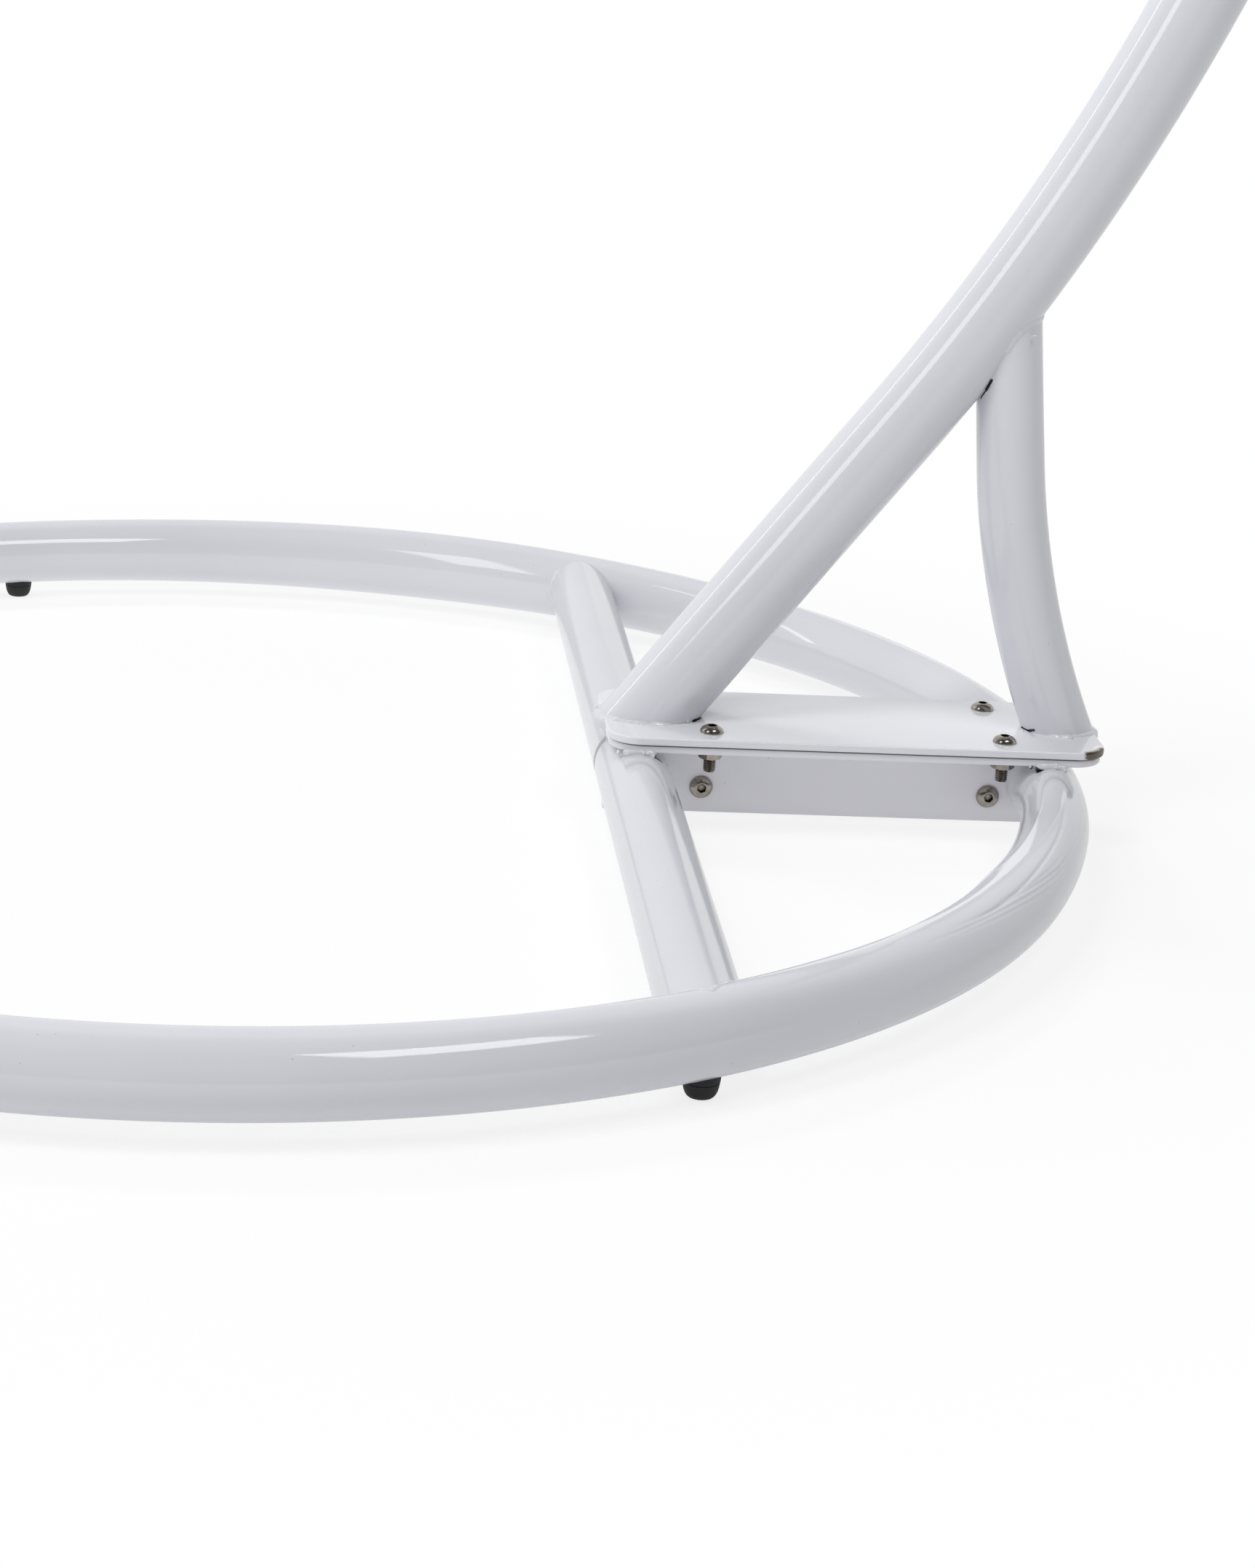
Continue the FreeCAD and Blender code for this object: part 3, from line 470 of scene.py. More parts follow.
def arc(centre, radius, start, end, step=0.004):
    """Points of a bend in the mast plane."""
    count = max(2, round(abs(math.radians(end - start)) * radius / step))
    return [centre + in_plane(radius, start + (end - start) * i / count) for i in range(count + 1)]


def on_ring(angle, side, rise=0.0):
    """Point of the ring's axis at an angle from the web towards one side, raised by rise."""
    a = math.radians(angle)
    return RING_CENTRE + Vector((RING_RADIUS * math.cos(a), side * RING_RADIUS * math.sin(a), rise))


# The mast's axis: straight foot, wide bend, tighter bend over the ring.
bend_start = MAST_FOOT + in_plane(MAST_STRAIGHT, MAST_ANGLE)
low_centre = bend_start + in_plane(MAST_LOW_RADIUS, MAST_ANGLE + 90)
low_end = low_centre + in_plane(MAST_LOW_RADIUS, MAST_LOW_END - 90)
top_centre = low_end + in_plane(MAST_TOP_RADIUS, MAST_LOW_END + 90)
# The brace's axis: a bend up from its foot, then a straight top.
brace_centre = BRACE_FOOT + in_plane(BRACE_RADIUS, BRACE_LEAN)
brace_bend_end = brace_centre + in_plane(BRACE_RADIUS, 90 + BRACE_TOP)


def on_top_bend(heading):
    """Point of the mast's upper bend where its axis has this heading."""
    return top_centre + in_plane(MAST_TOP_RADIUS, heading - 90)


def outside_mast(point):
    """Distance of a point from the lower mast's axis, and its part in the mast plane."""
    flat = Vector((point.x, 0, point.z))
    along = (flat - MAST_FOOT).dot(in_plane(1, MAST_ANGLE))
    if along < MAST_STRAIGHT:
        off = (flat - MAST_FOOT).dot(in_plane(1, MAST_ANGLE - 90))
    else:
        off = (flat - low_centre).length - MAST_LOW_RADIUS
    return math.hypot(off, point.y), off


def on_brace(run, around):
    """Point of the brace's wall at a length of its straight top and an angle round its tube."""
    a = math.radians(around)
    return (brace_bend_end + in_plane(run, BRACE_TOP) + in_plane(BRACE_TUBE * math.cos(a), BRACE_TOP - 90)
            + Vector((0, BRACE_TUBE * math.sin(a), 0)))


def brace_meets(around, reach, wall):
    """Length of the straight top at which a line of the brace comes within reach of the mast's axis."""
    clear, inside = -0.05, 0.30
    for _ in range(40):
        middle = (clear + inside) / 2
        point = on_brace(middle, around) if wall else brace_bend_end + in_plane(middle, BRACE_TOP)
        distance, side = outside_mast(point)
        if side > 0 and distance > reach:
            clear = middle
        else:
            inside = middle
    return clear


def drawn_in(point):
    """Draws the brace in by up to 6 %, across and on the mast's side, over the 0.13 m above z = 0.20."""
    share = 0.06 * max(0.0, min(1.0, (point.z - 0.20) / 0.13))
    outer = brace_centre.x - BRACE_RADIUS + BRACE_TUBE
    return Vector((point.x + share * max(0.0, outer - point.x), point.y * (1 - share), point.z))


def tube(name, points, radius, finish=tube_paint, sides=64):
    """Round tube along points."""
    made = grown(tube_tree, path(points), name, {"Tube radius": radius, "Sides": sides, "Finish": finish})
    return shade(made, 50)


def cut_to_plate(obj):
    """Saws a tube's foot level with the upper flange."""
    work = bmesh.new()
    work.from_mesh(obj.data)
    bmesh.ops.bisect_plane(work, geom=work.verts[:] + work.edges[:] + work.faces[:], dist=1e-6,
                           plane_co=(0, 0, PLATE_TOP), plane_no=(0, 0, 1), clear_inner=True)
    bmesh.ops.holes_fill(work, edges=[edge for edge in work.edges if edge.is_boundary])
    bmesh.ops.recalc_face_normals(work, faces=work.faces)
    work.to_mesh(obj.data)
    work.free()
    return shade(obj, 50)


# Marks of the ring's end bend. A place is (degrees from the web, degrees round the tube from its outer
# side over the top). Ridges and grooves: line of places, height, width in degrees on the outer and the
# inner side.
FOLDS = (
    (((11, 74), (15, 81), (19, 87), (25, 94), (31, 96), (37, 93), (46, 86)), 0.0010, 3.5, 15.0),
    (((12, 112), (18, 115), (24, 118), (31, 126), (37, 116), (46, 102)), 0.0006, 9.0, 4.5),
    (((13, 79), (16, 77), (20, 74), (26, 71), (32, 65), (38, 62)), -0.0008, 2.4, 2.4),
    (((19, 44), (25, 47), (28, 52), (32, 59), (40, 66)), -0.00055, 1.9, 1.9),
    (((21, 39), (26, 42), (30, 48), (35, 55), (43, 61)), -0.00042, 1.8, 1.8),
    (((22, 53), (26, 56), (30, 60), (35, 68)), -0.00036, 1.7, 1.7),
    (((24, 33), (29, 38), (34, 46), (41, 54)), -0.00030, 1.7, 1.7),
)
# Broad dents and swellings: place, reach along and reach round in degrees, height.
DENTS = (
    ((21, 0), 11, 55, -0.0024),
    ((29, 168), 5, 35, 0.0021),
    ((40, 155), 9, 45, -0.0018),
    ((5, 180), 9, 55, -0.0042),
)
# Past this many degrees from the web there are no marks.
MARKS_END = 62
# The ring's path has fine steps, in degrees, along the folds, and wider ones along the rest.
FINE_STEP = 0.28
FINE_COUNT = 186
WIDE_COUNT = 110
# Where the back half is out of round: degrees from the web, reach, share of its height.
HIGH_PLACE = 74
HIGH_REACH = 22
HIGH_SHARE = 0.12


def bend_marks(angle, around):
    """Height that the end bend's marks add to the ring's wall at a place."""
    total = 0.0
    for line, height, outer, inner in FOLDS:
        start, end = line[0][0], line[-1][0]
        # A fold rises over 9 degrees about its start and dies away over 7 about its end.
        inside = min((angle - start) / 9 + 0.3, (end - angle) / 7 + 0.3, 1.0)
        if inside <= 0:
            continue
        spine = line[0][1] if angle < start else line[-1][1]
        for (a0, r0), (a1, r1) in zip(line, line[1:]):
            if a0 <= angle <= a1:
                spine = r0 + (r1 - r0) * (angle - a0) / (a1 - a0)
        off = abs(around - spine) / (outer if around < spine else inner)
        total += height * inside * inside * (3 - 2 * inside) * math.exp(-off * (1 if height > 0 else off))
    for (middle, spine), along, across, height in DENTS:
        off = (around - spine + 180) % 360 - 180
        total += height * math.exp(-((angle - middle) / along) ** 2 - (off / across) ** 2)
    return total


def bent_ring(name, side, share):
    """Half of the ring with its end bend pressed out of round; share sets how deep the marks are."""
    first = math.degrees(math.asin(WEB_WALL / RING_RADIUS))
    angles = [first + FINE_STEP * i for i in range(FINE_COUNT + 1)]
    wide_step = (180 - angles[-1]) / WIDE_COUNT
    angles += [angles[-1] + wide_step * i for i in range(1, WIDE_COUNT + 1)]
    made = tube(name, [on_ring(angle, side) for angle in angles], RING_TUBE, sides=192)
    for vertex in made.data.vertices:
        off = vertex.co - RING_CENTRE
        flat = Vector((off.x, off.y, 0))
        angle = math.degrees(math.atan2(side * off.y, off.x))
        out = off - flat.normalized() * RING_RADIUS
        if out.length > 0.9 * RING_TUBE and angle < MARKS_END:
            around = math.degrees(math.atan2(out.z, flat.length - RING_RADIUS)) % 360
            vertex.co += out.normalized() * bend_marks(angle, around) * share
        if side > 0:
            vertex.co.z += out.z * HIGH_SHARE * math.exp(-((angle - HIGH_PLACE) / HIGH_REACH) ** 2)
    return made


# Base ring, legs, mast and brace.
for name, side in SIDES.items():
    keep(bent_ring("ring_%s" % name, side, 1.0 if side < 0 else 0.6), "ring_%s_half" % name)
    leg_run = math.sqrt(RING_RADIUS ** 2 - (LEG_X - RING_CENTRE.x) ** 2) - WEB_WALL
    leg_points = [Vector((LEG_X, side * (WEB_WALL + leg_run * i / 60), RING_CENTRE.z)) for i in range(61)]
    keep(tube("cross_leg_%s" % name, leg_points, RING_TUBE, leg_coat_painted_darker), "leg_%s" % name)

# Feet of mast and brace start under the flange's top and are sawn there.
foot_run = [MAST_FOOT + in_plane(MAST_STRAIGHT * i / 50, MAST_ANGLE) for i in range(-8, 50)]
lower_points = foot_run + arc(low_centre, MAST_LOW_RADIUS, MAST_ANGLE - 90, MAST_LOW_END - 90)
lower_points += arc(top_centre, MAST_TOP_RADIUS, MAST_LOW_END - 90, MAST_SPLIT - 90)[1:]
keep(cut_to_plate(tube("mast_low", lower_points, MAST_TUBE)), "mast_lower")
upper_points = arc(top_centre, MAST_TOP_RADIUS, MAST_SPLIT - 90, MAST_TIP - 90)
keep(tube("mast_high", upper_points, MAST_TUBE), "mast_upper")
brace_run = brace_meets(0, 0.0, False)
brace_points = arc(brace_centre, BRACE_RADIUS, 183 + BRACE_LEAN, 90 + BRACE_TOP)
brace_points += [brace_bend_end + in_plane(brace_run * i / 25, BRACE_TOP) for i in range(1, 26)]
curved_brace = cut_to_plate(tube("curved_brace", brace_points, BRACE_TUBE))
for vertex in curved_brace.data.vertices:
    vertex.co = drawn_in(vertex.co)
keep(curved_brace, "brace")


def rounded_outline(x0, x1, y0, y1, radius, round_corners):
    """Outline of a plate, counter-clockwise from its low corner."""
    points = []
    corners = ((x0, y0, 1, 1), (x1, y0, -1, 1), (x1, y1, -1, -1), (x0, y1, 1, -1))
    for i, (x, y, to_x, to_y) in enumerate(corners):
        if i not in round_corners:
            points.append((x, y))
            continue
        for k in range(17):
            a = math.radians(180 + 90 * i + 90 * k / 16)
            points.append((x + radius * (to_x + math.cos(a)), y + radius * (to_y + math.sin(a))))
    return points


def plate(name, outline, low, high, edge, upright=False):
    """Sawn plate with softened edges, lying between two heights, or upright between two depths."""
    work = bmesh.new()
    rims = []
    for level in (low, high):
        rims.append([work.verts.new((x, level, y) if upright else (x, y, level)) for x, y in outline])
    work.faces.new(rims[0])
    work.faces.new(rims[1])
    for i in range(len(outline)):
        k = (i + 1) % len(outline)
        work.faces.new((rims[0][i], rims[0][k], rims[1][k], rims[1][i]))
    raw = closed_object(work, name + "_raw", plate_coat_painted_lighter)
    raw.data.shade_smooth()
    soft = raw.modifiers.new("edge", "BEVEL")
    soft.width = edge
    soft.segments = 3
    soft.limit_method = "ANGLE"
    soft.angle_limit = math.radians(50)
    soft.harden_normals = True
    return plain_mesh(raw, name)


# Flanges and web plates; corners count as rounded_outline does.
ALL_CORNERS = (0, 1, 2, 3)
OUTER_CORNERS = {-1: (0, 1), 1: (2, 3)}
upper_outline = rounded_outline(PLATE_LEFT, PLATE_RIGHT, -PLATE_HALF, PLATE_HALF, PLATE_CORNER, ALL_CORNERS)
keep(plate("upper_flange", upper_outline, PLATE_SEAM, PLATE_TOP, edge=0.0012), "mast_flange")
web_outline = rounded_outline(WEB_LEFT, WEB_RIGHT, WEB_UNDER, PLATE_UNDER, 0, ())
for name, side in SIDES.items():
    y0, y1 = sorted((0.0, side * (PLATE_HALF - BASE_INSET)))
    lower_outline = rounded_outline(PLATE_LEFT + BASE_INSET, PLATE_RIGHT - BASE_INSET, y0, y1, PLATE_CORNER,
                                    OUTER_CORNERS[side])
    keep(plate("lower_flange_%s" % name, lower_outline, PLATE_UNDER, PLATE_SEAM, edge=0.0010),
         "base_flange_%s" % name)
    y0, y1 = sorted((0.0, side * WEB_WALL))
    keep(plate("web_plate_%s" % name, web_outline, y0, y1, edge=0.0006, upright=True), "web_%s" % name)


def weld(name, joint, radius, sink, lumps, seed, closed=True, uneven=0.3, lump=0.0016):
    """Weld along a joint, a list of (point, way out of the corner), with its bead sunk into the corner."""
    carrier = path([point - out.normalized() * sink for point, out in joint], closed)
    outward = carrier.data.attributes.new("out", "FLOAT_VECTOR", "POINT")
    for spot, (point, out) in zip(outward.data, joint):
        spot.vector = out.normalized()
    made = grown(weld_tree, carrier, name, {
        "Bead radius": radius, "Ripple pitch": 0.0045, "Unevenness": uneven, "Lumps": lumps,
        "Lump size": lump, "Lump height": radius * 0.6, "End taper": 0.0 if closed else 1.0, "Seed": seed,
        "Finish": weld_paint})
    return keep(made)


def foot_joint(centre, heading, radius, start, end):
    """Joint of a slanted tube with the upper flange, from start to end in degrees round from +X."""
    joint = []
    spread = radius / math.sin(math.radians(heading))
    for i in range(81):
        a = math.radians(start + (end - start) * i / 80)
        wall = in_plane(math.cos(a), heading - 90) + Vector((0, math.sin(a), 0))
        point = centre + Vector((spread * math.cos(a), radius * math.sin(a), 0))
        joint.append((point, wall + Vector((0, 0, 1))))
    return joint


def brace_joint():
    """Joint of the brace's top with the mast."""
    joint = []
    for around in range(-120, 121, 5):
        a = math.radians(around)
        point = on_brace(brace_meets(around, MAST_TUBE, True), around)
        wall = in_plane(math.cos(a), BRACE_TOP - 90) + Vector((0, math.sin(a), 0))
        mast = (Vector((point.x, 0, point.z)) - low_centre).normalized() * outside_mast(point)[1]
        joint.append((drawn_in(point), wall + (mast + Vector((0, point.y, 0))) / MAST_TUBE))
    return joint


def leg_joint(side):
    """Joint of a cross leg with the ring."""
    joint = []
    for i in range(72):
        a = 2 * math.pi * i / 72
        wall = Vector((math.cos(a), 0, math.sin(a)))
        x = LEG_X + RING_TUBE * wall.x
        inner = RING_RADIUS - RING_TUBE * abs(wall.x)
        y = side * math.sqrt(inner ** 2 - (x - RING_CENTRE.x) ** 2)
        point = Vector((x, y, RING_CENTRE.z + RING_TUBE * wall.z))
        flat = Vector((point.x - RING_CENTRE.x, point.y, 0)).normalized() * RING_RADIUS
        joint.append((point, wall + (point - RING_CENTRE - flat).normalized()))
    return joint


def crown_joint(x, y, side):
    """Joint of a tube's crown with the lower flange's edge, 20 mm long, in the gap between the two."""
    joint = []
    for i in range(17):
        across = -0.010 + 0.020 * i / 16
        drop = RING_TUBE - math.sqrt(RING_TUBE ** 2 - across ** 2)
        z = PLATE_UNDER - 0.0005 - 0.45 * drop
        joint.append((Vector((x + across, y, z)), Vector((0, side, -0.2))))
    return joint


# Welds of mast, brace, legs, ring and flange.
weld("weld_mast_foot", foot_joint(MAST_FOOT, MAST_ANGLE, MAST_TUBE, 26, 317),
     radius=0.0055, sink=0.0042, lumps=7, seed=3, closed=False)
weld("weld_brace_foot", foot_joint(BRACE_FOOT, 90 + BRACE_LEAN, BRACE_TUBE, -138, 166),
     radius=0.0055, sink=0.0042, lumps=7, seed=8, closed=False)
weld("weld_brace_top", brace_joint(),
     radius=0.0060, sink=0.0050, lumps=5, seed=5, closed=False, uneven=0.15, lump=0.0012)
for name, side in SIDES.items():
    weld("weld_leg_ring_%s" % name, leg_joint(side),
         radius=0.0032, sink=0.0025, lumps=16, seed=11 + side, uneven=0.2, lump=0.0008)
    edge_y = side * (PLATE_HALF - BASE_INSET)
    ring_x = RING_CENTRE.x + math.sqrt(RING_RADIUS ** 2 - edge_y ** 2)
    for tag, x in (("leg", LEG_X), ("ring", ring_x)):
        weld("weld_%s_flange_%s" % (tag, name), crown_joint(x, edge_y, side),
             radius=0.0032, sink=0.0019, lumps=7, seed=21 + side, closed=False, uneven=0.7, lump=0.0018)


def turned_row(work, steps):
    """Closed row of points about Z, from a (radius, height) for each step of the turn."""
    row = []
    for i, (radius, height) in enumerate(steps):
        a = 2 * math.pi * i / len(steps)
        row.append(work.verts.new((radius * math.cos(a), radius * math.sin(a), height)))
    return row


def join_rows(work, rows):
    """Faces between neighbouring rows; a row of one point closes the shape at the axis."""
    for low, high in zip(rows, rows[1:]):
        count = max(len(low), len(high))
        for i in range(count):
            k = (i + 1) % count
            corners = (low[i % len(low)], low[k % len(low)], high[k % len(high)], high[i % len(high)])
            work.faces.new(list(dict.fromkeys(corners)))


def lathe(name, profile, finish, sides=48):
    """Turned piece: a profile of (radius, height) points spun about Z, closed at the axis."""
    work = bmesh.new()
    join_rows(work, [turned_row(work, [spot] * (sides if spot[0] else 1)) for spot in profile])
    return shade(closed_object(work, name, finish), 40)


def hexagon(radius, i, sides):
    """Distance from the axis to a hexagon of this circumradius, at step i of the given number."""
    turn = math.radians((360 * i / sides) % 60 - 30)
    return radius * math.cos(math.radians(30)) / math.cos(turn)


def thread_rows(work, size, length, sides, painted_recess_shade):
    """Rows of a helical thread from z = 0 down, with a tapered end and painted shade in its grooves.

    Six rows make one turn, and the end tapers to 86 % over one pitch.
    """
    rows = []
    pitch = 0.156 * size
    count = round(length / pitch * 6)
    for step in range(count + 1):
        z = -length * step / count
        taper = 0.86 + 0.14 * min(1.0, (z + length) / pitch)
        grooves = [1 - abs(2 * ((z / pitch + i / sides) % 1.0) - 1) for i in range(sides)]
        row = turned_row(work, [((0.5 - 0.102 * groove) * size * taper, z) for groove in grooves])
        for vertex, groove in zip(row, grooves):
            vertex[painted_recess_shade] = 0.3 * groove
        rows.append(row)
    return rows


# Half section of a button head, (radius, height) from the shank to the socket, and the socket's radius and
# rows of (height, painted shade) down to its bottom. All are shares of the thread's size.
BUTTON_HEAD = ((0.50, 0.0), (0.89, 0.0), (0.91, 0.02), (0.91, 0.09), (0.88, 0.18), (0.82, 0.28),
               (0.72, 0.38), (0.60, 0.46), (0.49, 0.51), (0.42, 0.53))
SOCKET_RADIUS = 0.36
SOCKET_ROWS = ((0.51, 0.7), (0.14, 1.0))
SOCKET_BOTTOM = 0.10


def button_bolt(name, size, length):
    """Button head bolt: domed head with a hexagon socket, threaded shank, head's underside at z = 0."""
    work = bmesh.new()
    # A share of painted shade on each point, for the socket and the thread grooves.
    painted_recess_shade = work.verts.layers.float.new("painted_recess_shade")
    sides = 36
    rows = [turned_row(work, [(r * size, z * size)] * sides) for r, z in BUTTON_HEAD]
    socket = [hexagon(SOCKET_RADIUS * size, i, sides) for i in range(sides)]
    # The socket's wall carries painted shade, darker towards its bottom.
    for z, socket_shade in SOCKET_ROWS:
        rows.append(turned_row(work, [(radius, z * size) for radius in socket]))
        for vertex in rows[-1]:
            vertex[painted_recess_shade] = socket_shade
    shank = thread_rows(work, size, length, sides, painted_recess_shade)
    join_rows(work, rows + [turned_row(work, [(0.0, SOCKET_BOTTOM * size)])])
    join_rows(work, shank)
    join_rows(work, [rows[0], shank[0]])
    work.faces.new(shank[-1])
    return shade(closed_object(work, name), 38)


def hex_nut(name, size):
    """Hexagon nut with chamfered corners, seat at z = 0 and body downwards."""
    work = bmesh.new()
    sides = 60
    bore = 0.52 * size
    height = 0.80 * size
    chamfer = 0.80 * size
    corner_radius = 0.938 * size
    steps = []
    for i in range(sides):
        corner = hexagon(corner_radius, i, sides)
        face = min(corner, chamfer)
        drop = max(0.0, corner - chamfer) * 0.55 + 0.001 * size
        steps.append(((bore, 0.0), (face, 0.0), (corner, -drop), (corner, drop - height), (face, -height),
                      (bore, -height)))
    rows = [turned_row(work, level) for level in zip(*steps)]
    join_rows(work, rows + rows[:1])
    return shade(closed_object(work, name), 28)


def on_spots(name, node, master, spots, turn, seed, finish=fastener_steel, slot="fastener_steel"):
    """One piece of copies of a master, one on each spot, in place of a CAD node."""
    mesh = bpy.data.meshes.new("spots")
    mesh.from_pydata(spots, [], [])
    made = grown(spots_tree, new_object("spots", mesh), name,
                 {"Fastener": master, "Turn": turn, "Seed": seed, "Finish": finish})
    return keep(made, node, slot=slot)


def flange_spots(z):
    """Places of the four flange bolts at a height."""
    return [Vector((x, side * BOLT_SIDE, z)) for x in BOLT_XS for side in (-1, 1)]


def web_spots(y):
    """Places of the two web bolts at a depth."""
    return [Vector((x, y, WEB_BOLT_Z)) for x in BOLT_XS]


def mast_spots(y):
    """Places of the two bolts of the mast's joint at a depth."""
    step = math.degrees(JOINT_REACH / MAST_TOP_RADIUS)
    return [on_top_bend(MAST_SPLIT + turn) + Vector((0, y, 0)) for turn in (-step, step)]


# Turns by the way that a head points, places of screws and feet, and one master of each fastener.
UP = (0.0, 0.0, 0.0)
TO_FRONT = (math.pi / 2, 0.0, 0.0)
DOWN = (math.pi, 0.0, 0.0)
screw_angle = 180 - math.degrees(JOINT_REACH / RING_RADIUS)
ring_spots = [on_ring(screw_angle, side, -RING_TUBE) for side in (-1, 1)]
foot_spots = [on_ring(angle, side, -RING_CENTRE.z) for angle in FOOT_ANGLES for side in (-1, 1)]
flange_bolt = button_bolt("flange_bolt", M8, 0.025)
web_bolt = button_bolt("web_bolt", M8, 0.018)
joint_bolt = button_bolt("joint_bolt", M6, 0.063)
ring_screw = button_bolt("ring_screw", M6, 0.008)
flange_nut = hex_nut("flange_nut", M8)
joint_nut = hex_nut("joint_nut", M6)
# Piece, CAD node, master, spots, way that the head or the nut's seat points, seed of the spin.
FASTENERS = (
    ("bolts_of_flange", "flange_bolts", flange_bolt, flange_spots(PLATE_TOP), UP, 4),
    ("nuts_of_flange", "flange_nuts", flange_nut, flange_spots(PLATE_UNDER), UP, 9),
    ("bolts_of_web", "web_bolts", web_bolt, web_spots(-WEB_WALL), TO_FRONT, 2),
    ("nuts_of_web", "web_nuts", flange_nut, web_spots(WEB_WALL), TO_FRONT, 6),
    ("bolts_of_mast", "mast_joint_bolts", joint_bolt, mast_spots(-MAST_TUBE), TO_FRONT, 7),
    ("nuts_of_mast", "mast_joint_nuts", joint_nut, mast_spots(MAST_TUBE), TO_FRONT, 1),
    ("screws_of_ring", "ring_joint_screws", ring_screw, ring_spots, DOWN, 5),
)
for row in FASTENERS:
    on_spots(*row)

# Half section of a foot, (radius, height): screw hole, round tread, flaring side, parting groove, top.
FOOT_PROFILE = (
    (0.0, 0.0040), (0.0043, 0.0040), (0.0043, 0.0006), (0.0047, 0.0001),
    (0.0058, 0.0), (0.0065, 0.0002), (0.0072, 0.0008), (0.0079, 0.0018), (0.0086, 0.0034),
    (0.0091, 0.0054), (0.0094, 0.0076), (0.0095, 0.0081),
    (0.0092, 0.0083), (0.0092, 0.0085), (0.0096, 0.0087), (0.0098, 0.0110),
    (0.0098, 0.0150), (0.0, 0.0150),
)
# Half section of the mast's cap, (radius, height): plug in the tube, round rim, sunk face.
CAP_PROFILE = (
    (0.0, -0.010), (0.0235, -0.010), (0.0235, 0.0),
    (MAST_TUBE, 0.0), (MAST_TUBE, 0.0016), (0.0251, 0.0024), (0.0242, 0.0029), (0.0228, 0.0030),
    (0.0170, 0.0030), (0.0162, 0.0026), (0.0, 0.0026),
)
rubber_foot = lathe("rubber_foot", FOOT_PROFILE, foot_rubber)
on_spots("rubber_feet", "feet", rubber_foot, foot_spots, UP, 3, foot_rubber, "foot_rubber")
cap = lathe("tube_end_cap", CAP_PROFILE, cap_plastic, sides=72)
cap.data.transform(Matrix.Translation(on_top_bend(MAST_TIP))
                   @ Matrix.Rotation(math.radians(-MAST_TIP), 4, "Y")
                   @ Matrix.Rotation(math.radians(90), 4, "Y"))
keep(cap, "mast_end_cap", slot="cap_plastic")
# The masters have been copied and go.
for master in (flange_bolt, web_bolt, joint_bolt, ring_screw, flange_nut, joint_nut, rubber_foot):
    bpy.data.objects.remove(master)

# CAD pieces that keep their shape and get a finish.
CAD_FINISHES = {
    "hanger_eye": tube_paint,
    "swivel_loop": hook_steel,
    "hook": hook_steel,
    "hook_gate": hook_steel,
    "gate_pin": fastener_steel,
    "foot_screws": fastener_steel,
    "ring_joint_sleeve": sleeve_steel,
    "mast_joint_sleeve": sleeve_steel,
}
for name, finish in CAD_FINISHES.items():
    node_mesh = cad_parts[name].data
    node_mesh.materials.clear()
    node_mesh.materials.append(finish)


def white_floor():
    """Matt white paper: keeps a soft shadow near the stand and fades to plain white further out."""
    material, tree = blank_material("white_paper_floor")
    # The glow is wide and even, so no lamp rays need to seek it.
    material.cycles.emission_sampling = "NONE"
    white = linear("#FFFFFF")
    place = add(tree, "ShaderNodeTexCoord").outputs["Object"]
    away = add(tree, "ShaderNodeVectorMath", {0: place}, operation="LENGTH")
    glow_share = add(tree, "ShaderNodeMapRange", {"Value": away, "From Min": 0.45, "From Max": 0.95,
                                                  "To Min": 0.80}, interpolation_type="SMOOTHSTEP")
    # To the camera: shaded paper that turns to an even glow.
    lit = add(tree, "ShaderNodeBsdfDiffuse", {"Color": white})
    glow = add(tree, "ShaderNodeEmission", {"Color": white, "Strength": 1.0})
    seen = add(tree, "ShaderNodeMixShader", {0: glow_share, 1: lit, 2: glow})
    # To the stand: paper that glows more towards the back.
    depth = add(tree, "ShaderNodeSeparateXYZ", {"Vector": place}).outputs["Y"]
    backlit = add(tree, "ShaderNodeMapRange", {"Value": depth, "From Min": -0.5, "From Max": 0.5,
                                               "To Min": 0.2, "To Max": 0.8})
    paper = add(tree, "ShaderNodeBsdfDiffuse", {"Color": linear("#F3F3F3")})
    bounce = add(tree, "ShaderNodeMixShader", {0: backlit, 1: paper, 2: glow})
    # Mirrors on the stand see the camera's floor at 30 %.
    ray = add(tree, "ShaderNodeLightPath").outputs
    mirror = add(tree, "ShaderNodeMath", {0: ray["Is Glossy Ray"], 1: 0.3}, operation="MULTIPLY")
    direct = add(tree, "ShaderNodeMath", {0: ray["Is Camera Ray"], 1: ray["Is Transmission Ray"]},
                 operation="MAXIMUM")
    share = add(tree, "ShaderNodeMath", {0: direct, 1: mirror}, operation="MAXIMUM")
    both = add(tree, "ShaderNodeMixShader", {0: share, 1: bounce, 2: seen})
    add(tree, "ShaderNodeOutputMaterial", {"Surface": both})
    return material


FLOOR_HALF = 9
# Just under z = 0, so that the feet's undersides don't lie in it.
FLOOR_Z = -0.0004
floor_mesh = bpy.data.meshes.new("floor")
floor_corners = [(FLOOR_HALF * x, FLOOR_HALF * y, FLOOR_Z) for x, y in ((-1, -1), (1, -1), (1, 1), (-1, 1))]
floor_mesh.from_pydata(floor_corners, [], [(0, 1, 2, 3)])
floor_mesh.materials.append(white_floor())
new_object("floor", floor_mesh)


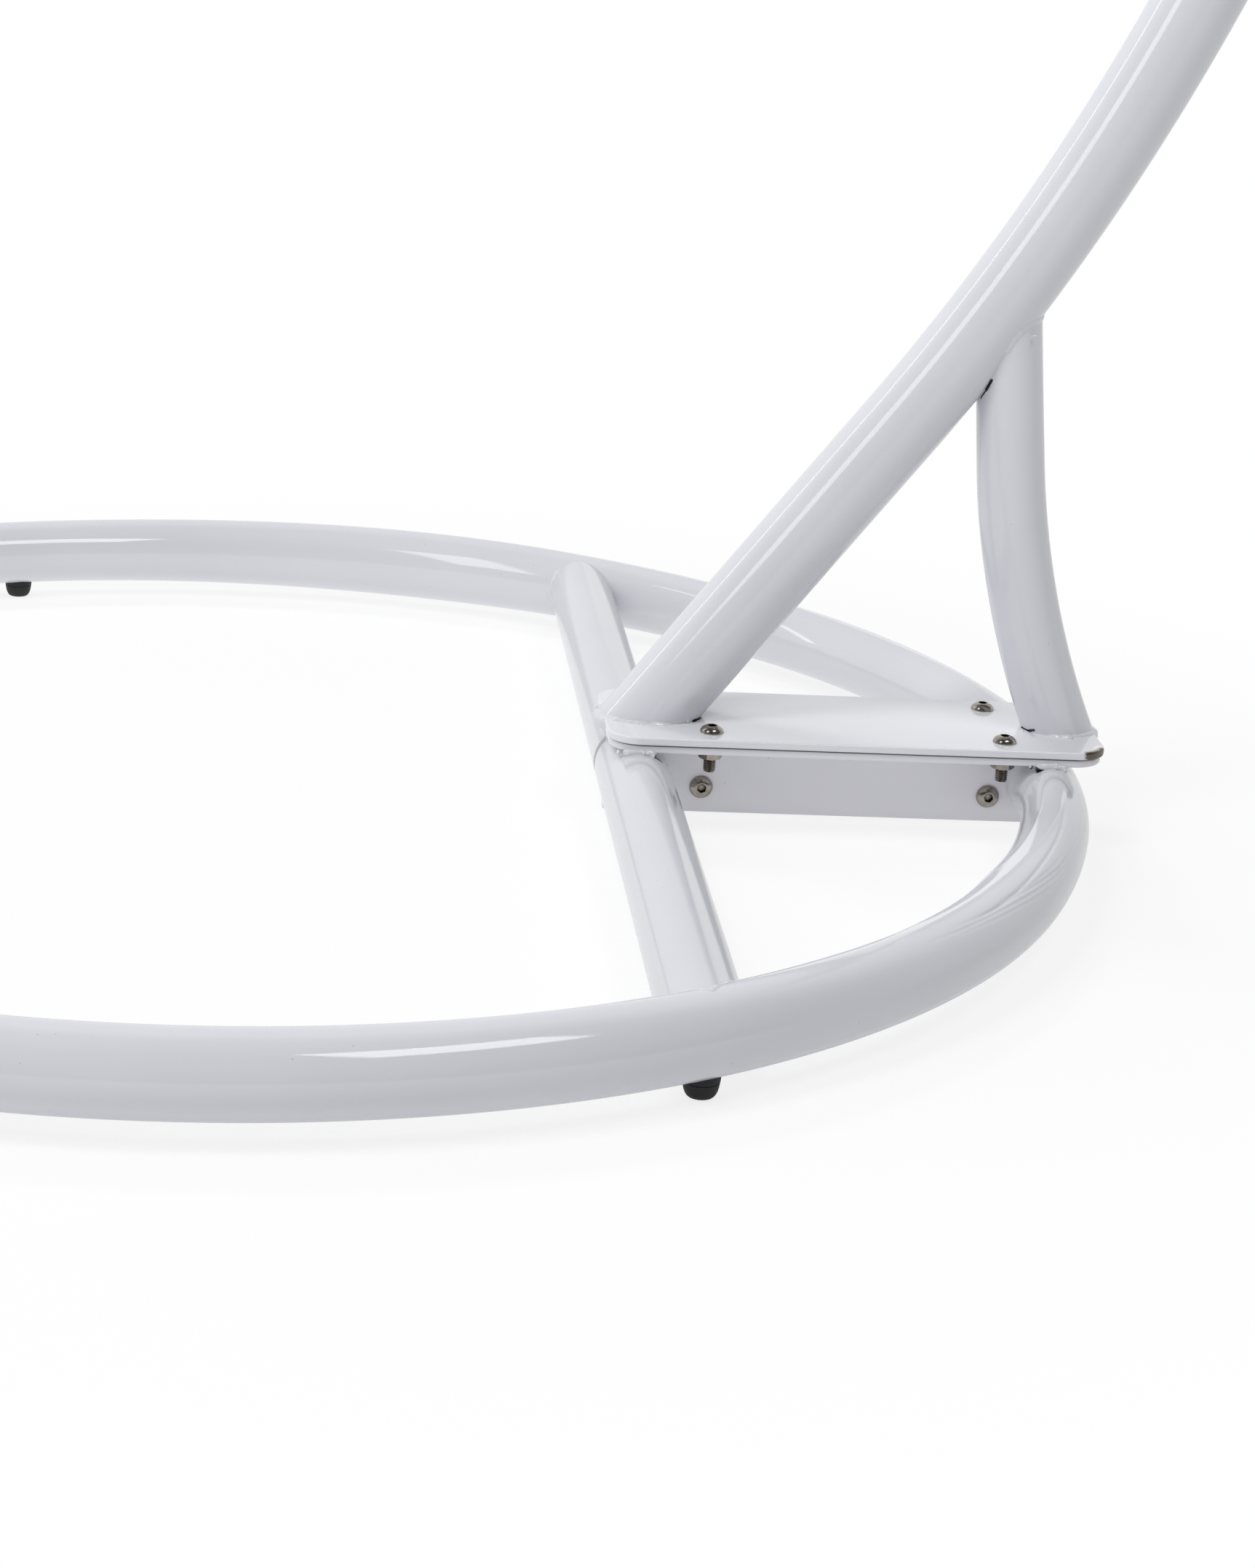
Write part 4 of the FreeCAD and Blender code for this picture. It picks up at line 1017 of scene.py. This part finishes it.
def white_studio():
    """White room: fill light stronger from the left, with a dim front and ceiling in mirrors."""
    world = bpy.data.worlds.new("white_studio")
    world.use_nodes = True
    # The room is even too: rays that leave the stand find it, and the lamps keep the lamp rays.
    world.cycles.sampling_method = "NONE"
    tree = world.node_tree
    tree.nodes.clear()
    way = add(tree, "ShaderNodeTexCoord").outputs["Generated"]
    across = add(tree, "ShaderNodeSeparateXYZ", {"Vector": way}).outputs["X"]
    fill = add(tree, "ShaderNodeMapRange", {"Value": across, "From Min": -1.0, "From Max": 1.0,
                                            "To Min": 0.60, "To Max": 0.08})
    front = add(tree, "ShaderNodeVectorMath", {0: way, 1: (0.0, -0.80, 0.60)}, operation="DOT_PRODUCT")
    room = add(tree, "ShaderNodeMapRange", {"Value": front, "From Min": -0.05, "From Max": 0.45,
                                            "To Min": 1.0, "To Max": 0.15}, interpolation_type="SMOOTHSTEP")
    ray = add(tree, "ShaderNodeLightPath").outputs
    level = add(tree, "ShaderNodeMix", {"Factor": ray["Is Glossy Ray"], "A": fill, "B": room},
                data_type="FLOAT")
    direct = add(tree, "ShaderNodeMath", {0: ray["Is Camera Ray"], 1: ray["Is Transmission Ray"]},
                 operation="MAXIMUM")
    studio = add(tree, "ShaderNodeBackground", {"Color": linear("#FCFDFF"), "Strength": level})
    white = add(tree, "ShaderNodeBackground", {"Color": linear("#FFFFFF"), "Strength": 1.0})
    both = add(tree, "ShaderNodeMixShader", {0: direct, 1: studio, 2: white})
    add(tree, "ShaderNodeOutputWorld", {"Surface": both})
    return world


scene.world = white_studio()


def softbox(name, place, target, width, height, power, mirrored=True):
    """Lamp of the given size and power in watts, turned to a target; mirrored lets the paint show it."""
    light = bpy.data.lights.new(name, "AREA")
    light.shape = "RECTANGLE"
    light.size = width
    light.size_y = height
    light.energy = power
    obj = new_object(name, light)
    obj.location = place
    obj.rotation_mode = "QUATERNION"
    obj.rotation_quaternion = (Vector(target) - Vector(place)).to_track_quat("-Z", "Y")
    obj.visible_camera = False
    obj.visible_glossy = mirrored
    return obj


# Lamps: place, target, size and power.
softbox("softbox_right", (0.95, -1.25, 2.45), (0.05, -0.30, 0.05), width=1.2, height=0.7, power=14.6)
softbox("softbox_left", (-0.87, -0.97, 2.45), (0.05, 0.30, 0.05), width=0.7, height=0.7, power=15,
        mirrored=False)
softbox("strip_left", (-1.45, -1.30, 1.75), (0.35, 0.0, 0.45), width=0.60, height=1.3, power=8.8)
softbox("strip_behind", (-1.75, 0.85, 1.60), (0.30, 0.0, 0.30), width=0.15, height=1.8, power=3.5)
softbox("fill_front", (-0.60, -2.60, 0.45), (0.20, 0.0, 0.05), width=2.0, height=0.8, power=1.5,
        mirrored=False)
softbox("fill_behind", (-0.50, 1.50, 2.30), (-0.10, 0.50, 0.0), width=0.9, height=0.5, power=15.5,
        mirrored=False)
softbox("glow_behind", (0.95, 2.60, 0.30), (0.20, 0.0, 0.20), width=1.2, height=0.9, power=0.6)

# Camera at the photograph's place: yaw from +Y to the right, pitch down and roll, in radians.
EYE = Vector((-0.02862, -1.89601, 0.62247))
YAW, PITCH, ROLL = 0.10615, 0.30636, 0.06562
view = Vector((math.sin(YAW) * math.cos(PITCH), math.cos(YAW) * math.cos(PITCH), -math.sin(PITCH)))
level = Vector((math.cos(YAW), -math.sin(YAW), 0))
upward = level.cross(view)
right = level * math.cos(ROLL) + upward * math.sin(ROLL)
top = upward * math.cos(ROLL) - level * math.sin(ROLL)
camera = bpy.data.cameras.new("camera")
camera.sensor_width = 36.0
camera.lens = 73.70
camera.clip_start = 0.05
camera_object = new_object("camera", camera)
camera_object.matrix_world = Matrix(((right.x, top.x, -view.x, EYE.x), (right.y, top.y, -view.y, EYE.y),
                                     (right.z, top.z, -view.z, EYE.z), (0, 0, 0, 1)))
scene.camera = camera_object
